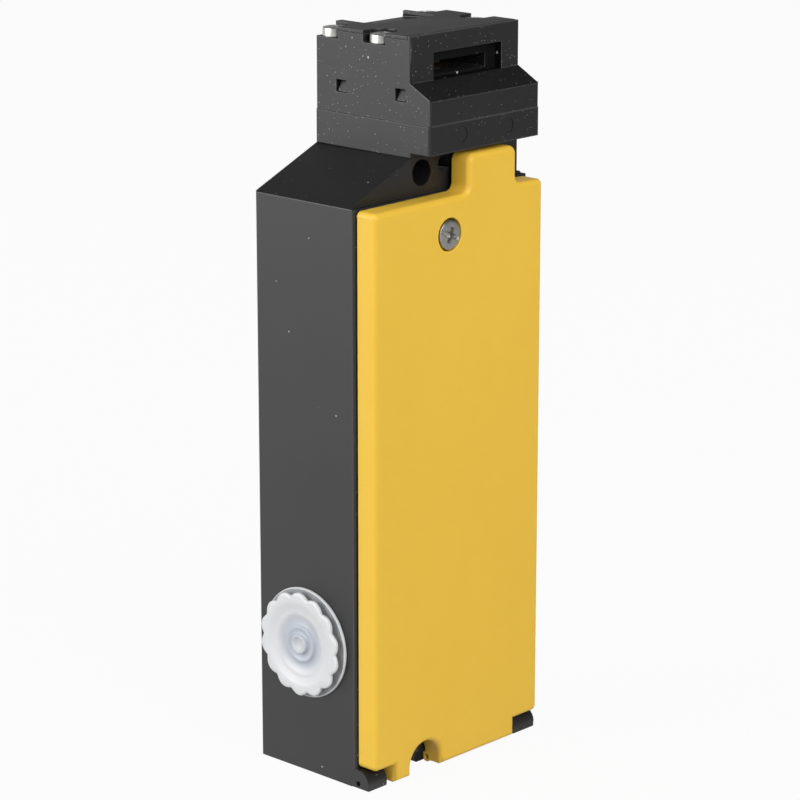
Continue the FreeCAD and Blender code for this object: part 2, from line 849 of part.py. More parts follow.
def cam_wheel():
    disc = rod_x(cam_radius, cam_left, cam_right, cam_y, cam_z)
    front_pocket = box(cam_left, cam_right, cam_y - cam_radius, cam_y - cam_web, slot_low, slot_high)
    top_pocket = box(cam_left, cam_right, top_slot_front, top_slot_back, cam_z + cam_web, cam_z + cam_radius)
    waist_left = head_centre - waist_width / 2
    waist = rod_x(cam_radius, waist_left, waist_left + waist_width, cam_y, cam_z)
    waist = waist.cut(rod_x(cam_radius - waist_depth, waist_left, waist_left + waist_width, cam_y, cam_z))
    upper_half = box(cam_left, cam_right, cam_y - cam_radius, cam_y + cam_radius, cam_z, cam_z + cam_radius)
    waist = waist.common(upper_half)
    bore = rod_x(axle_radius + running, cam_left, cam_right, cam_y, cam_z)
    return cut(disc, [cam_relief(), front_pocket, top_pocket, waist, bore])


def cam_axle():
    return rod_x(axle_radius, head_centre - axle_reach, head_centre + axle_reach, cam_y, cam_z)


def plunger():
    step_z = collar_top + plunger_shoulder
    return fuse([
        Part.makeSphere(plunger_radius, V(plunger_x, cam_y, dome_z)),
        rod_z(plunger_radius, plunger_x, cam_y, step_z, dome_z),
        rod_z(stem_radius, plunger_x, cam_y, socket_bottom, step_z),
        rod_z(collar_radius, plunger_x, cam_y, collar_top - collar_height, collar_top),
    ])


def neck_seal():
    ring = rod_z(seal_radius, plunger_x, cam_y, seal_bottom, spigot_bottom)
    bore = rod_z(plunger_radius + running, plunger_x, cam_y, seal_bottom, spigot_bottom)
    groove = rod_z(plunger_radius + seal_groove, plunger_x, cam_y, seal_bottom + seal_lip,
                   spigot_bottom - seal_lip)
    return cut(ring, [bore, groove])


# ---- contact blocks: built with the travel along z and the back at y = 0, then placed ----
def bridge_levels(height, travel):
    # as many bridges as the block's height has room for
    low = bridge_rise - contact_thickness - contact_gap
    pitch = bridge_room(travel) + bridge_web
    count = int((height - low - contact_thickness - contact_gap + bridge_web) / pitch)
    return [bridge_rise + pitch * level for level in range(count)]


def bridge_room(travel):
    # the room that one bridge needs on its way, with its contacts above and below
    return bridge_thickness + travel + 2 * (contact_thickness + contact_gap)


def slide_middle(depth):
    # how deep in the block the slide and the bridges run
    return -(depth - tower_front + block_back + slide_back_gap) / 2


def terminal_spots(width, height):
    x = (width / 2 + block_gap) / 2
    return [(side * x, z) for side in (-1, 1) for z in (terminal_inset, height - terminal_inset)]


def contact_block(size, travel, stem_room):
    width, depth, height = size
    shape = fuse([
        box(-width / 2, width / 2, -block_back, 0, 0, height),
        box(-width / 2, width / 2, -depth, 0, 0, foot_thickness),
        box(-width / 2, -block_gap, -depth, 0, 0, height),
        box(block_gap, width / 2, -depth, 0, 0, height),
    ])
    reach = block_gap + contact_reach
    tools = []
    for level in bridge_levels(height, travel):
        low = level - contact_thickness - contact_gap
        tools.append(box(-reach, reach, -depth + tower_front, -block_back - slide_back_gap, low,
                         low + bridge_room(travel)))
    for x, z in terminal_spots(width, height):
        tools.append(rod_y(terminal_radius, x, -depth, -depth + terminal_recess, z))
    if stem_room:
        middle = slide_middle(depth)
        tools.append(box(-stem_room, stem_room, middle - stem_room, middle + stem_room, 0, foot_thickness))
    return cut(shape, tools)


def fixed_contacts(size, travel):
    depth, height = size[1:]
    front = -depth + tower_front + contact_side_gap
    back = -block_back - slide_back_gap - contact_side_gap
    strips = []
    for level in bridge_levels(height, travel):
        low = level - contact_thickness - contact_gap
        high = low + bridge_room(travel) - contact_thickness
        for side in (-1, 1):
            ends = (side * (block_gap + contact_start), side * (block_gap + contact_reach))
            for z in (low, high):
                strips.append(mirrored_box(ends, front, back, z, z + contact_thickness))
    return strips


def bridges(size, travel, reach):
    middle = slide_middle(size[1])
    return [box(-reach, reach, middle - bridge_depth / 2, middle + bridge_depth / 2, z, z + bridge_thickness)
            for z in bridge_levels(size[2], travel)]


def slide(size, travel, stem_length):
    width, depth, height = size
    reach = block_gap - moving_gap
    post = box(-reach, reach, -depth + slide_front, -block_back - moving_gap, slide_bottom,
               height - slide_short)
    shape = cut(post, bridges(size, travel, reach))
    if stem_length:
        middle = slide_middle(depth)
        shape = shape.fuse(box(-stem_half_width, stem_half_width, middle - stem_half_width,
                               middle + stem_half_width, -stem_length, slide_bottom))
    return shape


def terminal(x, front, z, turn):
    # a clamp plate and its screw at the bottom of a recess in a front face
    seat = front + terminal_recess
    clamp_front = seat - clamp_thickness
    clamp = box(x - clamp_half, x + clamp_half, clamp_front, seat, z - clamp_half, z + clamp_half)
    clamp = clamp.cut(rod_y(terminal_shank, x, clamp_front, seat, z))
    length = terminal_head_height + clamp_thickness - terminal_shank_end
    screw = headed_screw(terminal_head, terminal_head_height, terminal_shank, length, 0.25,
                         [slot_cut(terminal_head, 0.6, 0.7, 0)], V(x, clamp_front - terminal_head_height, z),
                         V(0, -1, 0), turn)
    return screw, clamp


def block_terminals(size):
    width, depth, height = size
    return [terminal(x, -depth, z, 15 + 50 * number)
            for number, (x, z) in enumerate(terminal_spots(width, height))]


def place_position(shape):
    shape = shape.copy()
    shape.translate(V(plunger_x, -back_wall, position_block_z))
    return shape


def place_lock(shape):
    # the block lies on its side, so its travel runs towards -x
    shape = shape.copy()
    shape.rotate(V(0, 0, 0), along_y, -90)
    shape.translate(V(lock_block_x, -back_wall, lock_block_z))
    return shape


def position_slide():
    socket = rod_z(stem_radius, plunger_x, cam_y, socket_bottom, socket_bottom + socket_depth)
    return place_position(slide(position_block_size, plunger_travel, 0)).cut(socket)


def plunger_spring():
    start = V(plunger_x, slide_middle(position_block_size[1]) - back_wall, position_block_z + foot_thickness)
    return coil_spring(plunger_spring_radius, start, along_z, slide_bottom - foot_thickness)


def supply_spots():
    return [supply_left + supply_pitch * (way + 0.5) for way in range(supply_ways)]


def supply_block():
    bottom = supply_top - supply_height
    middle = supply_top - supply_height / 2
    shape = box(supply_left, supply_right, supply_front, -back_wall, bottom, supply_top)
    for x in supply_spots():
        recess = rod_y(terminal_radius, x, supply_front, supply_front + terminal_recess, middle)
        entry_front = supply_front + wire_entry_front
        entry = box(x - wire_entry_half, x + wire_entry_half, entry_front, entry_front + wire_entry_depth,
                    bottom, middle - wire_entry_top)
        shape = cut(shape, [recess, entry])
    return shape


def supply_terminals():
    middle = supply_top - supply_height / 2
    return [terminal(x, supply_front, middle, 20 + 35 * way) for way, x in enumerate(supply_spots())]


# ---- solenoid and lock ----
def solenoid_yoke():
    y0 = cam_y - yoke_half
    z0, z1 = lock_axis_z - yoke_half, lock_axis_z + yoke_half
    left = box(yoke_left, coil_left, y0, -back_wall, z0, z1)
    right = box(coil_right, yoke_right, y0, -back_wall, z0, z1)
    back = box(yoke_left, yoke_right, -back_wall - yoke_plate, -back_wall, z0, z1)
    hole = rod_x(armature_radius + moving_gap, coil_right, yoke_right, cam_y, lock_axis_z)
    return fuse([left, right, back]).cut(hole)


def bobbin():
    back = -back_wall - yoke_plate - moving_gap
    z0, z1 = lock_axis_z - bobbin_half, lock_axis_z + bobbin_half
    flanges = [box(x, x + bobbin_flange, cam_y - bobbin_half, back, z0, z1)
               for x in (coil_left, coil_right - bobbin_flange)]
    tube = rod_x(core_radius, coil_left, coil_right, cam_y, lock_axis_z)
    bore = rod_x(armature_radius + bobbin_bore_gap, coil_left, coil_right, cam_y, lock_axis_z)
    return fuse(flanges + [tube]).cut(bore)


def coil():
    left, right = coil_left + bobbin_flange, coil_right - bobbin_flange
    winding = rod_x(coil_radius, left, right, cam_y, lock_axis_z)
    return winding.cut(rod_x(core_radius, left, right, cam_y, lock_axis_z))


def fixed_core():
    return rod_x(armature_radius + bobbin_bore_gap, coil_left, core_right, cam_y, lock_axis_z)


def armature():
    shoulder = tab_x - armature_shoulder
    body = rod_x(armature_radius, armature_left, shoulder, cam_y, lock_axis_z)
    return body.fuse(rod_x(armature_neck, shoulder, tab_x + tab_thickness, cam_y, lock_axis_z))


def lock_plate():
    # a bent steel strip: an upright tab on the armature and a keyhole plate round the plunger
    tab_right_face = tab_x + tab_thickness
    tab = box(tab_x, tab_right_face, cam_y - tab_half, cam_y + tab_half, lock_block_z - tab_end,
              lock_axis_z + tab_end)
    throat_end = plunger_x + lock_travel + keyhole_half
    side = keyhole_radius + keyhole_margin
    top = lock_plate_low + lock_strip
    plate = box(tab_x, throat_end + keyhole_end, cam_y - side, cam_y + side, lock_plate_low, top)
    wide = rod_z(keyhole_radius, plunger_x, cam_y, lock_plate_low, top)
    narrow = box(plunger_x, throat_end, cam_y - keyhole_half, cam_y + keyhole_half, lock_plate_low, top)
    neck_hole = rod_x(armature_neck, tab_x, tab_right_face, cam_y, lock_axis_z)
    return cut(tab.fuse(plate), [wide, narrow, neck_hole])


def armature_spring():
    return coil_spring(lock_spring_radius, V(yoke_right, cam_y, lock_axis_z), along_x, tab_x - yoke_right)


# ---- the whole switch ----
def main():
    position_reach = block_gap + bridge_reach
    position_parts = block_terminals(position_block_size)
    lock_parts = block_terminals(lock_block_size)
    terminals = [(place_position(screw), place_position(clamp)) for screw, clamp in position_parts]
    terminals += [(place_lock(screw), place_lock(clamp)) for screw, clamp in lock_parts]
    terminals += supply_terminals()
    position_strips = fixed_contacts(position_block_size, plunger_travel)
    lock_strips = fixed_contacts(lock_block_size, lock_travel)
    position_bars = bridges(position_block_size, plunger_travel, position_reach)
    lock_bars = bridges(lock_block_size, lock_travel, position_reach)
    stem_room = stem_half_width + moving_gap
    nodes = {
        "housing": housing(),
        "cover": cover(),
        "cover_gasket": gasket_ring(cover_back - gasket_groove, -body_depth - running),
        "cover_screw": cover_screw(),
        "hinge_pins": hinge_pins(),
        "dust_plug": dust_plug(),
        "head_base": head_base(),
        "head_body": head_body(),
        "head_plate": head_plate(),
        "head_screws": head_screws(),
        "cam_wheel": cam_wheel(),
        "cam_axle": cam_axle(),
        "plunger": plunger(),
        "neck_seal": neck_seal(),
        "solenoid_yoke": solenoid_yoke(),
        "solenoid_bobbin": bobbin(),
        "solenoid_coil": coil(),
        "solenoid_core": fixed_core(),
        "armature": armature(),
        "armature_spring": armature_spring(),
        "lock_plate": lock_plate(),
        "position_contact_block": place_position(contact_block(position_block_size, plunger_travel, 0)),
        "position_contacts": Part.makeCompound([place_position(strip) for strip in position_strips]),
        "position_slide": position_slide(),
        "position_bridges": Part.makeCompound([place_position(bar) for bar in position_bars]),
        "plunger_spring": plunger_spring(),
        "lock_contact_block": place_lock(contact_block(lock_block_size, lock_travel, stem_room)),
        "lock_contacts": Part.makeCompound([place_lock(strip) for strip in lock_strips]),
        "lock_slide": place_lock(slide(lock_block_size, lock_travel, tab_x - lock_block_x)),
        "lock_bridges": Part.makeCompound([place_lock(bar) for bar in lock_bars]),
        "supply_terminal_block": supply_block(),
        "terminal_screws": Part.makeCompound([screw for screw, clamp in terminals]),
        "terminal_clamps": Part.makeCompound([clamp for screw, clamp in terminals]),
    }
    for name, shape in nodes.items():
        print(name, shape.isValid(), len(shape.Solids), round(shape.Volume, 1))
        shape.exportStep("parts/" + name + ".step")


main()
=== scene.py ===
import json
import math
import bmesh
import bpy
from mathutils import Matrix, Vector

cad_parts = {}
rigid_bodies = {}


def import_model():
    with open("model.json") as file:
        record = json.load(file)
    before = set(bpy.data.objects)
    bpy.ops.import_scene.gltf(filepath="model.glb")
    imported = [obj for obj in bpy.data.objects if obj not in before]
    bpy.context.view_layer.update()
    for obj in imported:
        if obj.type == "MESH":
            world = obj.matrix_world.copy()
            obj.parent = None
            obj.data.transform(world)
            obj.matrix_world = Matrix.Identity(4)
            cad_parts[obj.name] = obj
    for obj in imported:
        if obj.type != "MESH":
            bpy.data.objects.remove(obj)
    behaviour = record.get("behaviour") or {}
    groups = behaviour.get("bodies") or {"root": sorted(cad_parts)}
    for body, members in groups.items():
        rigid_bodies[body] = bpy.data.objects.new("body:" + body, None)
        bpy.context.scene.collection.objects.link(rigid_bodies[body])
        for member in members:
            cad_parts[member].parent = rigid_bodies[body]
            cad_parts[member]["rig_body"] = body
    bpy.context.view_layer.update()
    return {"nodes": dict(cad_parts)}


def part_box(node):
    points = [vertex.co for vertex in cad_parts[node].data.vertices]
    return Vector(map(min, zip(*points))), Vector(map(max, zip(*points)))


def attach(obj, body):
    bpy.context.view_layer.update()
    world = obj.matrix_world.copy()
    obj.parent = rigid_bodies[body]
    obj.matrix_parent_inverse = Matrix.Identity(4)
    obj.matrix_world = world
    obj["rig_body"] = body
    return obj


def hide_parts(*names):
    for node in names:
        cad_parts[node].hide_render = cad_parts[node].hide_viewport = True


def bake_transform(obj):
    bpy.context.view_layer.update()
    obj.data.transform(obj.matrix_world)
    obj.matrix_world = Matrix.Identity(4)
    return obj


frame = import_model()
nodes = frame["nodes"]
mm = 0.001


class Wire:
    # holds one socket of a node tree; arithmetic on it adds Math nodes
    def __init__(self, tree, socket=None):
        self.tree = tree
        self.socket = socket

    def node(self, kind, settings=None, sockets=None, out=0):
        made = self.tree.nodes.new(kind)
        for name, value in (settings or {}).items():
            if name == "stops":
                ramp = made.color_ramp
                while len(ramp.elements) < len(value):
                    ramp.elements.new(1.0)
                for element, (place, colour) in zip(ramp.elements, value):
                    element.position = place
                    element.color = colour
            else:
                setattr(made, name, value)
        for key, value in (sockets or {}).items():
            if isinstance(value, Wire):
                self.tree.links.new(value.socket, made.inputs[key])
            else:
                made.inputs[key].default_value = value
        return Wire(self.tree, made.outputs[out])

    def maths(self, operation, first, second):
        return self.node("ShaderNodeMath", {"operation": operation}, {0: first, 1: second})

    def __add__(self, other):
        return self.maths("ADD", self, other)

    __radd__ = __add__

    def __sub__(self, other):
        return self.maths("SUBTRACT", self, other)

    def __rsub__(self, other):
        return self.maths("SUBTRACT", other, self)

    def __mul__(self, other):
        return self.maths("MULTIPLY", self, other)

    __rmul__ = __mul__

    def __lt__(self, other):
        return self.maths("LESS_THAN", self, other)

    def __gt__(self, other):
        return self.maths("GREATER_THAN", self, other)


def colour(red, green, blue):
    return (red, green, blue, 1.0)


def newMaterial(name, constants):
    # a Principled material whose fixed values sit on the shader's own sockets
    material = bpy.data.materials.new(name)
    material.use_nodes = True
    tree = material.node_tree
    shader = tree.nodes["Principled BSDF"]
    for socket, value in constants.items():
        shader.inputs[socket].default_value = value
    return material, tree, shader


def inMillimetres(tree, stretch=(1, 1, 1)):
    # object coordinates in millimetres, so that texture scales read as sizes
    place = Wire(tree).node("ShaderNodeTexCoord", out=3)
    scale = tuple(1000 * value for value in stretch)
    return place.node("ShaderNodeMapping", None, {"Vector": place, "Scale": scale})


def noise(place, size, detail=3.0, rough=0.5):
    return place.node("ShaderNodeTexNoise", None,
                      {"Vector": place, "Scale": 1 / size, "Detail": detail, "Roughness": rough})


def specks(place, spacing, radius, share):
    # round grains: one in each cell of the given spacing, of which a share is kept
    cells = {"Vector": place, "Scale": 1 / spacing}
    near = place.node("ShaderNodeTexVoronoi", None, cells)
    tint = place.node("ShaderNodeTexVoronoi", None, cells, out=1)
    chance = place.node("ShaderNodeSeparateColor", None, {"Color": tint}, out=0)
    size = place.node("ShaderNodeSeparateColor", None, {"Color": tint}, out=1)
    return (near < (size * 0.7 + 0.3) * (radius / spacing)) * (chance < share)


def spotsAt(place, spots):
    # small marks round given points, in millimetres, with ragged edges
    marks = None
    for x, y, z, radius in spots:
        far = place.node("ShaderNodeVectorMath", {"operation": "DISTANCE"}, {0: place, 1: (x, y, z)}, out=1)
        mark = (far + (noise(place, 0.35, 2.0) - 0.5) * radius) < radius
        marks = mark if marks is None else marks.maths("MAXIMUM", marks, mark)
    return marks


def blendColour(factor, first, second):
    return factor.node("ShaderNodeMix", {"data_type": "RGBA"},
                       {0: factor, 6: first, 7: second}, out=2)


def ramp(value, low, high, first, last):
    return value.node("ShaderNodeMapRange", {"interpolation_type": "SMOOTHSTEP"},
                      {"Value": value, "From Min": low, "From Max": high, "To Min": first, "To Max": last})


def addBump(tree, shader, height, distance, strength=1.0):
    bump = height.node("ShaderNodeBump", None,
                       {"Height": height, "Distance": distance * mm, "Strength": strength})
    tree.links.new(bump.socket, shader.inputs["Normal"])


def link(tree, wire, shader, socket):
    tree.links.new(wire.socket, shader.inputs[socket])


headDust = ((-0.9, -26.4, 146.9, 0.40), (19.6, -25.6, 149.6, 0.34), (19.75, -25.2, 148.2, 0.26),
            (8.0, -24.7, 146.7, 0.30), (3.0, -26.0, 146.5, 0.22), (-8.2, -15.0, 150.6, 0.24))
dustLooks = {
    # kind: (spacing in mm, radius in mm, share of the cells that hold a grain)
    "fine": (0.78, 0.105, 0.6), "coarse": (4.5, 0.21, 0.6), "fibre": (4.0, 0.13, 0.35),
}
fibreStretch = (1.0, 0.7, 0.22)
dustColour = (0.42, 0.42, 0.425)
blackLooks = {
    "bodyBlack": {"shade": 0.0105, "rough": 0.43, "grain": 0.16, "dust": 0.30},
    "bodyBlackEdge": {"shade": 0.016, "rough": 0.38, "grain": 0.16, "dust": 0.30},
    "headBlack": {"shade": 0.0080, "rough": 0.45, "grain": 0.20, "dust": 1.0, "spots": headDust},
    # the head's rounded edges are lighter than its faces: partly edge wear, partly a painted highlight
    "headBlackEdge": {"shade": 0.036, "rough": 0.40, "grain": 0.20, "dust": 0.9},
    # painted shade: this finish is a darker, duller copy of headBlack for the recess round the front slot,
    # where shade falls
    "headRecess": {"shade": 0.0040, "rough": 0.55, "grain": 0.20, "dust": 0.6, "gloss": 0.12,
                   "spots": headDust},
    "bobbinBlack": {"shade": 0.016, "rough": 0.38, "grain": 0.25, "dust": 0.02},
}


def dust(place, kind, amount):
    spacing, radius, share = dustLooks[kind]
    return specks(place, spacing, radius, amount * share)


def blackMoulding(name):
    looks = blackLooks[name]
    material, tree, shader = newMaterial(name, {"Specular IOR Level": looks.get("gloss", 0.5)})
    place = inMillimetres(tree)
    cloud = noise(place, 14.0, 4.0)
    grain = noise(place, looks["grain"], 2.0, 0.6)
    fine = dust(place, "fine", looks["dust"])
    coarse = dust(place, "coarse", looks["dust"])
    fibre = dust(inMillimetres(tree, fibreStretch), "fibre", looks["dust"])
    dusty = place.maths("MAXIMUM", fine, coarse.maths("MAXIMUM", coarse, fibre))
    if "spots" in looks:
        dusty = dusty.maths("MAXIMUM", dusty, spotsAt(place, looks["spots"]))
    shade = looks["shade"]
    plastic = blendColour(cloud, colour(shade * 0.85, shade * 0.85, shade * 0.86),
                          colour(shade * 1.2, shade * 1.2, shade * 1.2))
    sprinkled = blendColour(grain > 0.66, plastic, colour(shade * 2.2, shade * 2.2, shade * 2.2))
    link(tree, blendColour(dusty, sprinkled, colour(*dustColour)), shader, "Base Color")
    link(tree, looks["rough"] + (cloud - 0.5) * 0.12 + dusty * 0.3, shader, "Roughness")
    addBump(tree, shader, grain + noise(place, 0.9, 2.0) * 0.6, 0.012, 0.5)
    return material


yellowLooks = {
    "coverYellow": {"light": (0.805, 0.512, 0.056), "dark": (0.755, 0.468, 0.046), "rough": 0.36},
    "coverYellowEdge": {"light": (0.83, 0.55, 0.085), "dark": (0.79, 0.51, 0.072), "rough": 0.33},
}


def yellowMoulding(name):
    looks = yellowLooks[name]
    material, tree, shader = newMaterial(name, {
        "Subsurface Weight": 0.12, "Subsurface Scale": 0.0012, "Subsurface Radius": (1.0, 0.55, 0.12),
        "Specular IOR Level": 0.3})
    place = inMillimetres(tree)
    cloud = noise(place, 22.0, 3.0)
    flow = noise(inMillimetres(tree, (1.0, 1.0, 0.12)), 3.0, 2.0)
    fleck = specks(place, 3.4, 0.08, 0.22)
    tone = cloud * 0.7 + flow * 0.3
    plastic = blendColour(tone, colour(*looks["dark"]), colour(*looks["light"]))
    link(tree, blendColour(fleck, plastic, colour(0.42, 0.24, 0.05)), shader, "Base Color")
    link(tree, looks["rough"] + (flow - 0.5) * 0.10, shader, "Roughness")
    addBump(tree, shader, noise(place, 0.55, 2.0) + cloud * 0.6, 0.006, 0.5)
    return material


metalLooks = {
    "platedSteel": {"light": (0.56, 0.555, 0.53), "dark": (0.41, 0.405, 0.385), "rough": 0.30, "grain": 2.4},
    "camSteel": {"light": (0.44, 0.36, 0.31), "dark": (0.30, 0.24, 0.20), "rough": 0.34, "grain": 0.35},
    # painted glint: the cam wheel's rounded edges are far lighter than its faces, standing in for a highlight
    # inside the slot
    "camSteelEdge": {"light": (0.86, 0.84, 0.80), "dark": (0.66, 0.63, 0.58), "rough": 0.24, "grain": 0.30},
    "yokeSteel": {"light": (0.66, 0.64, 0.55), "dark": (0.50, 0.47, 0.36), "rough": 0.38, "grain": 0.9},
    "springSteel": {"light": (0.60, 0.60, 0.61), "dark": (0.42, 0.42, 0.43), "rough": 0.22, "grain": 0.3},
    "contactBrass": {"light": (0.72, 0.52, 0.26), "dark": (0.52, 0.35, 0.16), "rough": 0.30, "grain": 0.6},
}


def metal(name):
    looks = metalLooks[name]
    material, tree, shader = newMaterial(name, {"Metallic": 1.0})
    place = inMillimetres(tree)
    cloud = noise(place, 1.6, 4.0)
    fine = noise(place, looks["grain"] * 0.3, 3.0, 0.6)
    scratch = noise(inMillimetres(tree, (1.0, 0.08, 0.08)), 0.25, 2.0, 0.6)
    link(tree, blendColour(cloud * 0.6 + fine * 0.4, colour(*looks["dark"]), colour(*looks["light"])),
         shader, "Base Color")
    link(tree, looks["rough"] + (cloud - 0.5) * 0.16 + (scratch > 0.62) * 0.12, shader, "Roughness")
    addBump(tree, shader, fine + scratch * 0.5, 0.005, 0.3)
    return material


plainLooks = {
    "sealRubber": {"light": (0.030, 0.030, 0.032), "dark": (0.016, 0.016, 0.017), "rough": 0.62, "size": 0.5},
    "plungerWhite": {"light": (0.78, 0.77, 0.72), "dark": (0.68, 0.67, 0.61), "rough": 0.36, "size": 1.2},
    "coilTape": {"light": (0.44, 0.17, 0.045), "dark": (0.30, 0.10, 0.025), "rough": 0.30, "size": 0.7},
    "blockGrey": {"light": (0.150, 0.153, 0.156), "dark": (0.105, 0.107, 0.110), "rough": 0.44, "size": 1.6},
}


def plainMoulding(name):
    looks = plainLooks[name]
    material, tree, shader = newMaterial(name, {"Specular IOR Level": 0.5})
    place = inMillimetres(tree)
    cloud = noise(place, looks["size"] * 4, 3.0)
    grain = noise(place, looks["size"] * 0.25, 2.0)
    tone = cloud * 0.7 + grain * 0.3
    link(tree, blendColour(tone, colour(*looks["dark"]), colour(*looks["light"])), shader, "Base Color")
    link(tree, looks["rough"] + (grain - 0.5) * 0.16, shader, "Roughness")
    addBump(tree, shader, grain + cloud * 0.5, 0.008, 0.5)
    return material


milkyLooks = {"centre": (-13.9, 28.9), "thin": (0.50, 0.535, 0.60), "thick": (0.71, 0.72, 0.73),
              "flange": (0.34, 0.35, 0.37), "flangeFace": -27.4, "flangeFrom": 8.8, "cloud": 2.2,
              "dish": (3.9, 7.4), "button": (1.5, 2.2), "rim": (11.55, 11.75)}


def milkyPlastic():
    # thin walls let the dark body through, so the well and the flange are greyer than the thick rim
    looks = milkyLooks
    material, tree, shader = newMaterial("plugMilky", {
        "Transmission Weight": 0.10, "IOR": 1.46, "Specular IOR Level": 0.5,
        "Subsurface Weight": 0.3, "Subsurface Scale": 0.0015, "Subsurface Radius": (1.0, 1.0, 1.0)})
    place = inMillimetres(tree)
    x, y, z = (place.node("ShaderNodeSeparateXYZ", None, {0: place}, out=axis) for axis in range(3))
    across, up = y - looks["centre"][0], z - looks["centre"][1]
    reach = x.maths("SQRT", across * across + up * up, 0.0)
    cloud = noise(place, 4.0, 3.0)
    grain = noise(place, 0.35, 2.0)
    thick = ramp(reach + (cloud - 0.5) * looks["cloud"], *looks["dish"], 0.0, 1.0)
    core = ramp(reach, *looks["button"], 0.55, 0.0)
    walls = blendColour(thick.maths("MAXIMUM", thick, core), colour(*looks["thin"]), colour(*looks["thick"]))
    rim = ramp(reach, *looks["rim"], 0.0, 0.95)
    flange = blendColour(rim, colour(*looks["flange"]), colour(*looks["thick"]))
    onFlange = (x > looks["flangeFace"]) * (reach > looks["flangeFrom"])
    link(tree, blendColour(onFlange, walls, flange), shader, "Base Color")
    link(tree, 0.34 + (grain - 0.5) * 0.2, shader, "Roughness")
    addBump(tree, shader, grain + cloud * 0.8, 0.012, 0.4)
    return material


makers = ((blackLooks, blackMoulding), (yellowLooks, yellowMoulding), (metalLooks, metal),
          (plainLooks, plainMoulding))
finishes = {name: make(name) for table, make in makers for name in table}
finishes["plugMilky"] = milkyPlastic()
print("finishes ready:", len(finishes))


def newPiece(name, mesh):
    piece = bpy.data.objects.new(name, mesh)
    bpy.context.scene.collection.objects.link(piece)
    return piece


def settle(piece):
    # the modifiers' result becomes the piece's plain mesh
    graph = bpy.context.evaluated_depsgraph_get()
    mesh = bpy.data.meshes.new_from_object(piece.evaluated_get(graph))
    piece.modifiers.clear()
    piece.data = mesh
    return piece


def smoothByAngle(mesh, degrees):
    mesh.shade_smooth()
    mesh.set_sharp_from_angle(angle=math.radians(degrees))


lipLooks = {"head_body": {"back": -25.88, "floor": 155.2, "top": 155.95, "near": 0.01}}


def raiseLip(shape, looks):
    # the low lip in front of the head's top plate
    back, level = looks["back"] * mm, looks["floor"] * mm
    bmesh.ops.bisect_plane(shape, geom=shape.verts[:] + shape.edges[:] + shape.faces[:], dist=1e-7,
                           plane_co=(0, back, 0), plane_no=(0, 1, 0))
    floor = [face for face in shape.faces if face.normal.z > 0.99
             and abs(face.calc_center_median().z - level) < looks["near"] * mm
             and face.calc_center_median().y < back]
    raised = bmesh.ops.extrude_face_region(shape, geom=floor)["geom"]
    for part in raised:
        if isinstance(part, bmesh.types.BMVert):
            part.co.z = looks["top"] * mm
    bmesh.ops.delete(shape, geom=[face for face in floor if face.is_valid], context="FACES")


joinLooks = {"merge": 2e-6, "sliver": 1e-6, "flatWithin": 0.4}


def mergedShape(node):
    # a copy of a frame node's loose triangles, joined up, with its flat faces made whole
    shape = bmesh.new()
    shape.from_mesh(nodes[node].data)
    bmesh.ops.remove_doubles(shape, verts=shape.verts, dist=joinLooks["merge"])
    bmesh.ops.dissolve_degenerate(shape, edges=shape.edges, dist=joinLooks["sliver"])
    if node in lipLooks:
        raiseLip(shape, lipLooks[node])
    bmesh.ops.dissolve_limit(shape, angle_limit=math.radians(joinLooks["flatWithin"]),
                             verts=shape.verts, edges=shape.edges)
    return shape


# the box round the front slot's recess whose faces take the painted shade finish
recessShadeLooks = {"head_body": {"low": (-1.6, -26.6, 146.3), "high": (19.6, -24.7, 152.1),
                             "finish": "headRecess"}}


def paintRecessShade(mesh, looks):
    # painted shade: the walls of the shallow recess round the front slot get a darker, duller finish in place
    # of the shade that falls there
    mesh.materials.append(finishes[looks["finish"]])
    painted = len(mesh.materials) - 1
    for face in mesh.polygons:
        spans = zip(looks["low"], face.center, looks["high"])
        if all(low * mm < part < high * mm for low, part, high in spans):
            face.material_index = painted


roundingLooks = {"shortest": 0.35, "widths": 2.2, "corner": 38, "segments": 2, "smooth": 34}


def roomToRound(edge, width):
    # true for a clear outer or inner corner whose two faces are wide enough to take the rounding
    if len(edge.link_faces) != 2 or edge.calc_length() < roundingLooks["shortest"] * mm:
        return False
    if edge.calc_face_angle() < math.radians(roundingLooks["corner"]):
        return False
    room = roundingLooks["widths"] * width * mm
    return all(face.calc_area() > room * max(side.calc_length() for side in face.edges)
               for face in edge.link_faces)


def keepInside(mesh, corners):
    # no rounded corner may stand proud of the box that holds the plain form
    low, high = corners
    for vertex in mesh.vertices:
        vertex.co = [min(max(part, least), most) for part, least, most in zip(vertex.co, low, high)]


def softened(name, node, width, finish, edge):
    # the frame node's form with its sharp edges rounded, as a moulding or a pressing has them
    shape = mergedShape(node)
    marks = shape.edges.layers.float.new("bevel_weight_edge")
    for side in shape.edges:
        side[marks] = 1.0 if roomToRound(side, width) else 0.0
    mesh = bpy.data.meshes.new(name)
    shape.to_mesh(mesh)
    shape.free()
    mesh.materials.append(finishes[finish])
    mesh.materials.append(finishes[edge or finish])
    piece = newPiece(name, mesh)
    bevel = piece.modifiers.new("roundEdges", "BEVEL")
    bevel.width = width * mm
    bevel.segments = roundingLooks["segments"]
    bevel.limit_method = "WEIGHT"
    bevel.use_clamp_overlap = False
    bevel.material = 1
    settle(piece)
    low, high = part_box(node)
    top = lipLooks[node]["top"] * mm if node in lipLooks else high[2]
    keepInside(piece.data, (low, (high[0], high[1], top)))
    if node in recessShadeLooks:
        paintRecessShade(piece.data, recessShadeLooks[node])
    smoothByAngle(piece.data, roundingLooks["smooth"])
    return flatten(piece)


def flatten(piece):
    # large faces keep their own flat shading, and the rounded edges run into them
    weights = piece.modifiers.new("flatFaces", "WEIGHTED_NORMAL")
    weights.keep_sharp = True
    weights.weight = 90
    return settle(piece)


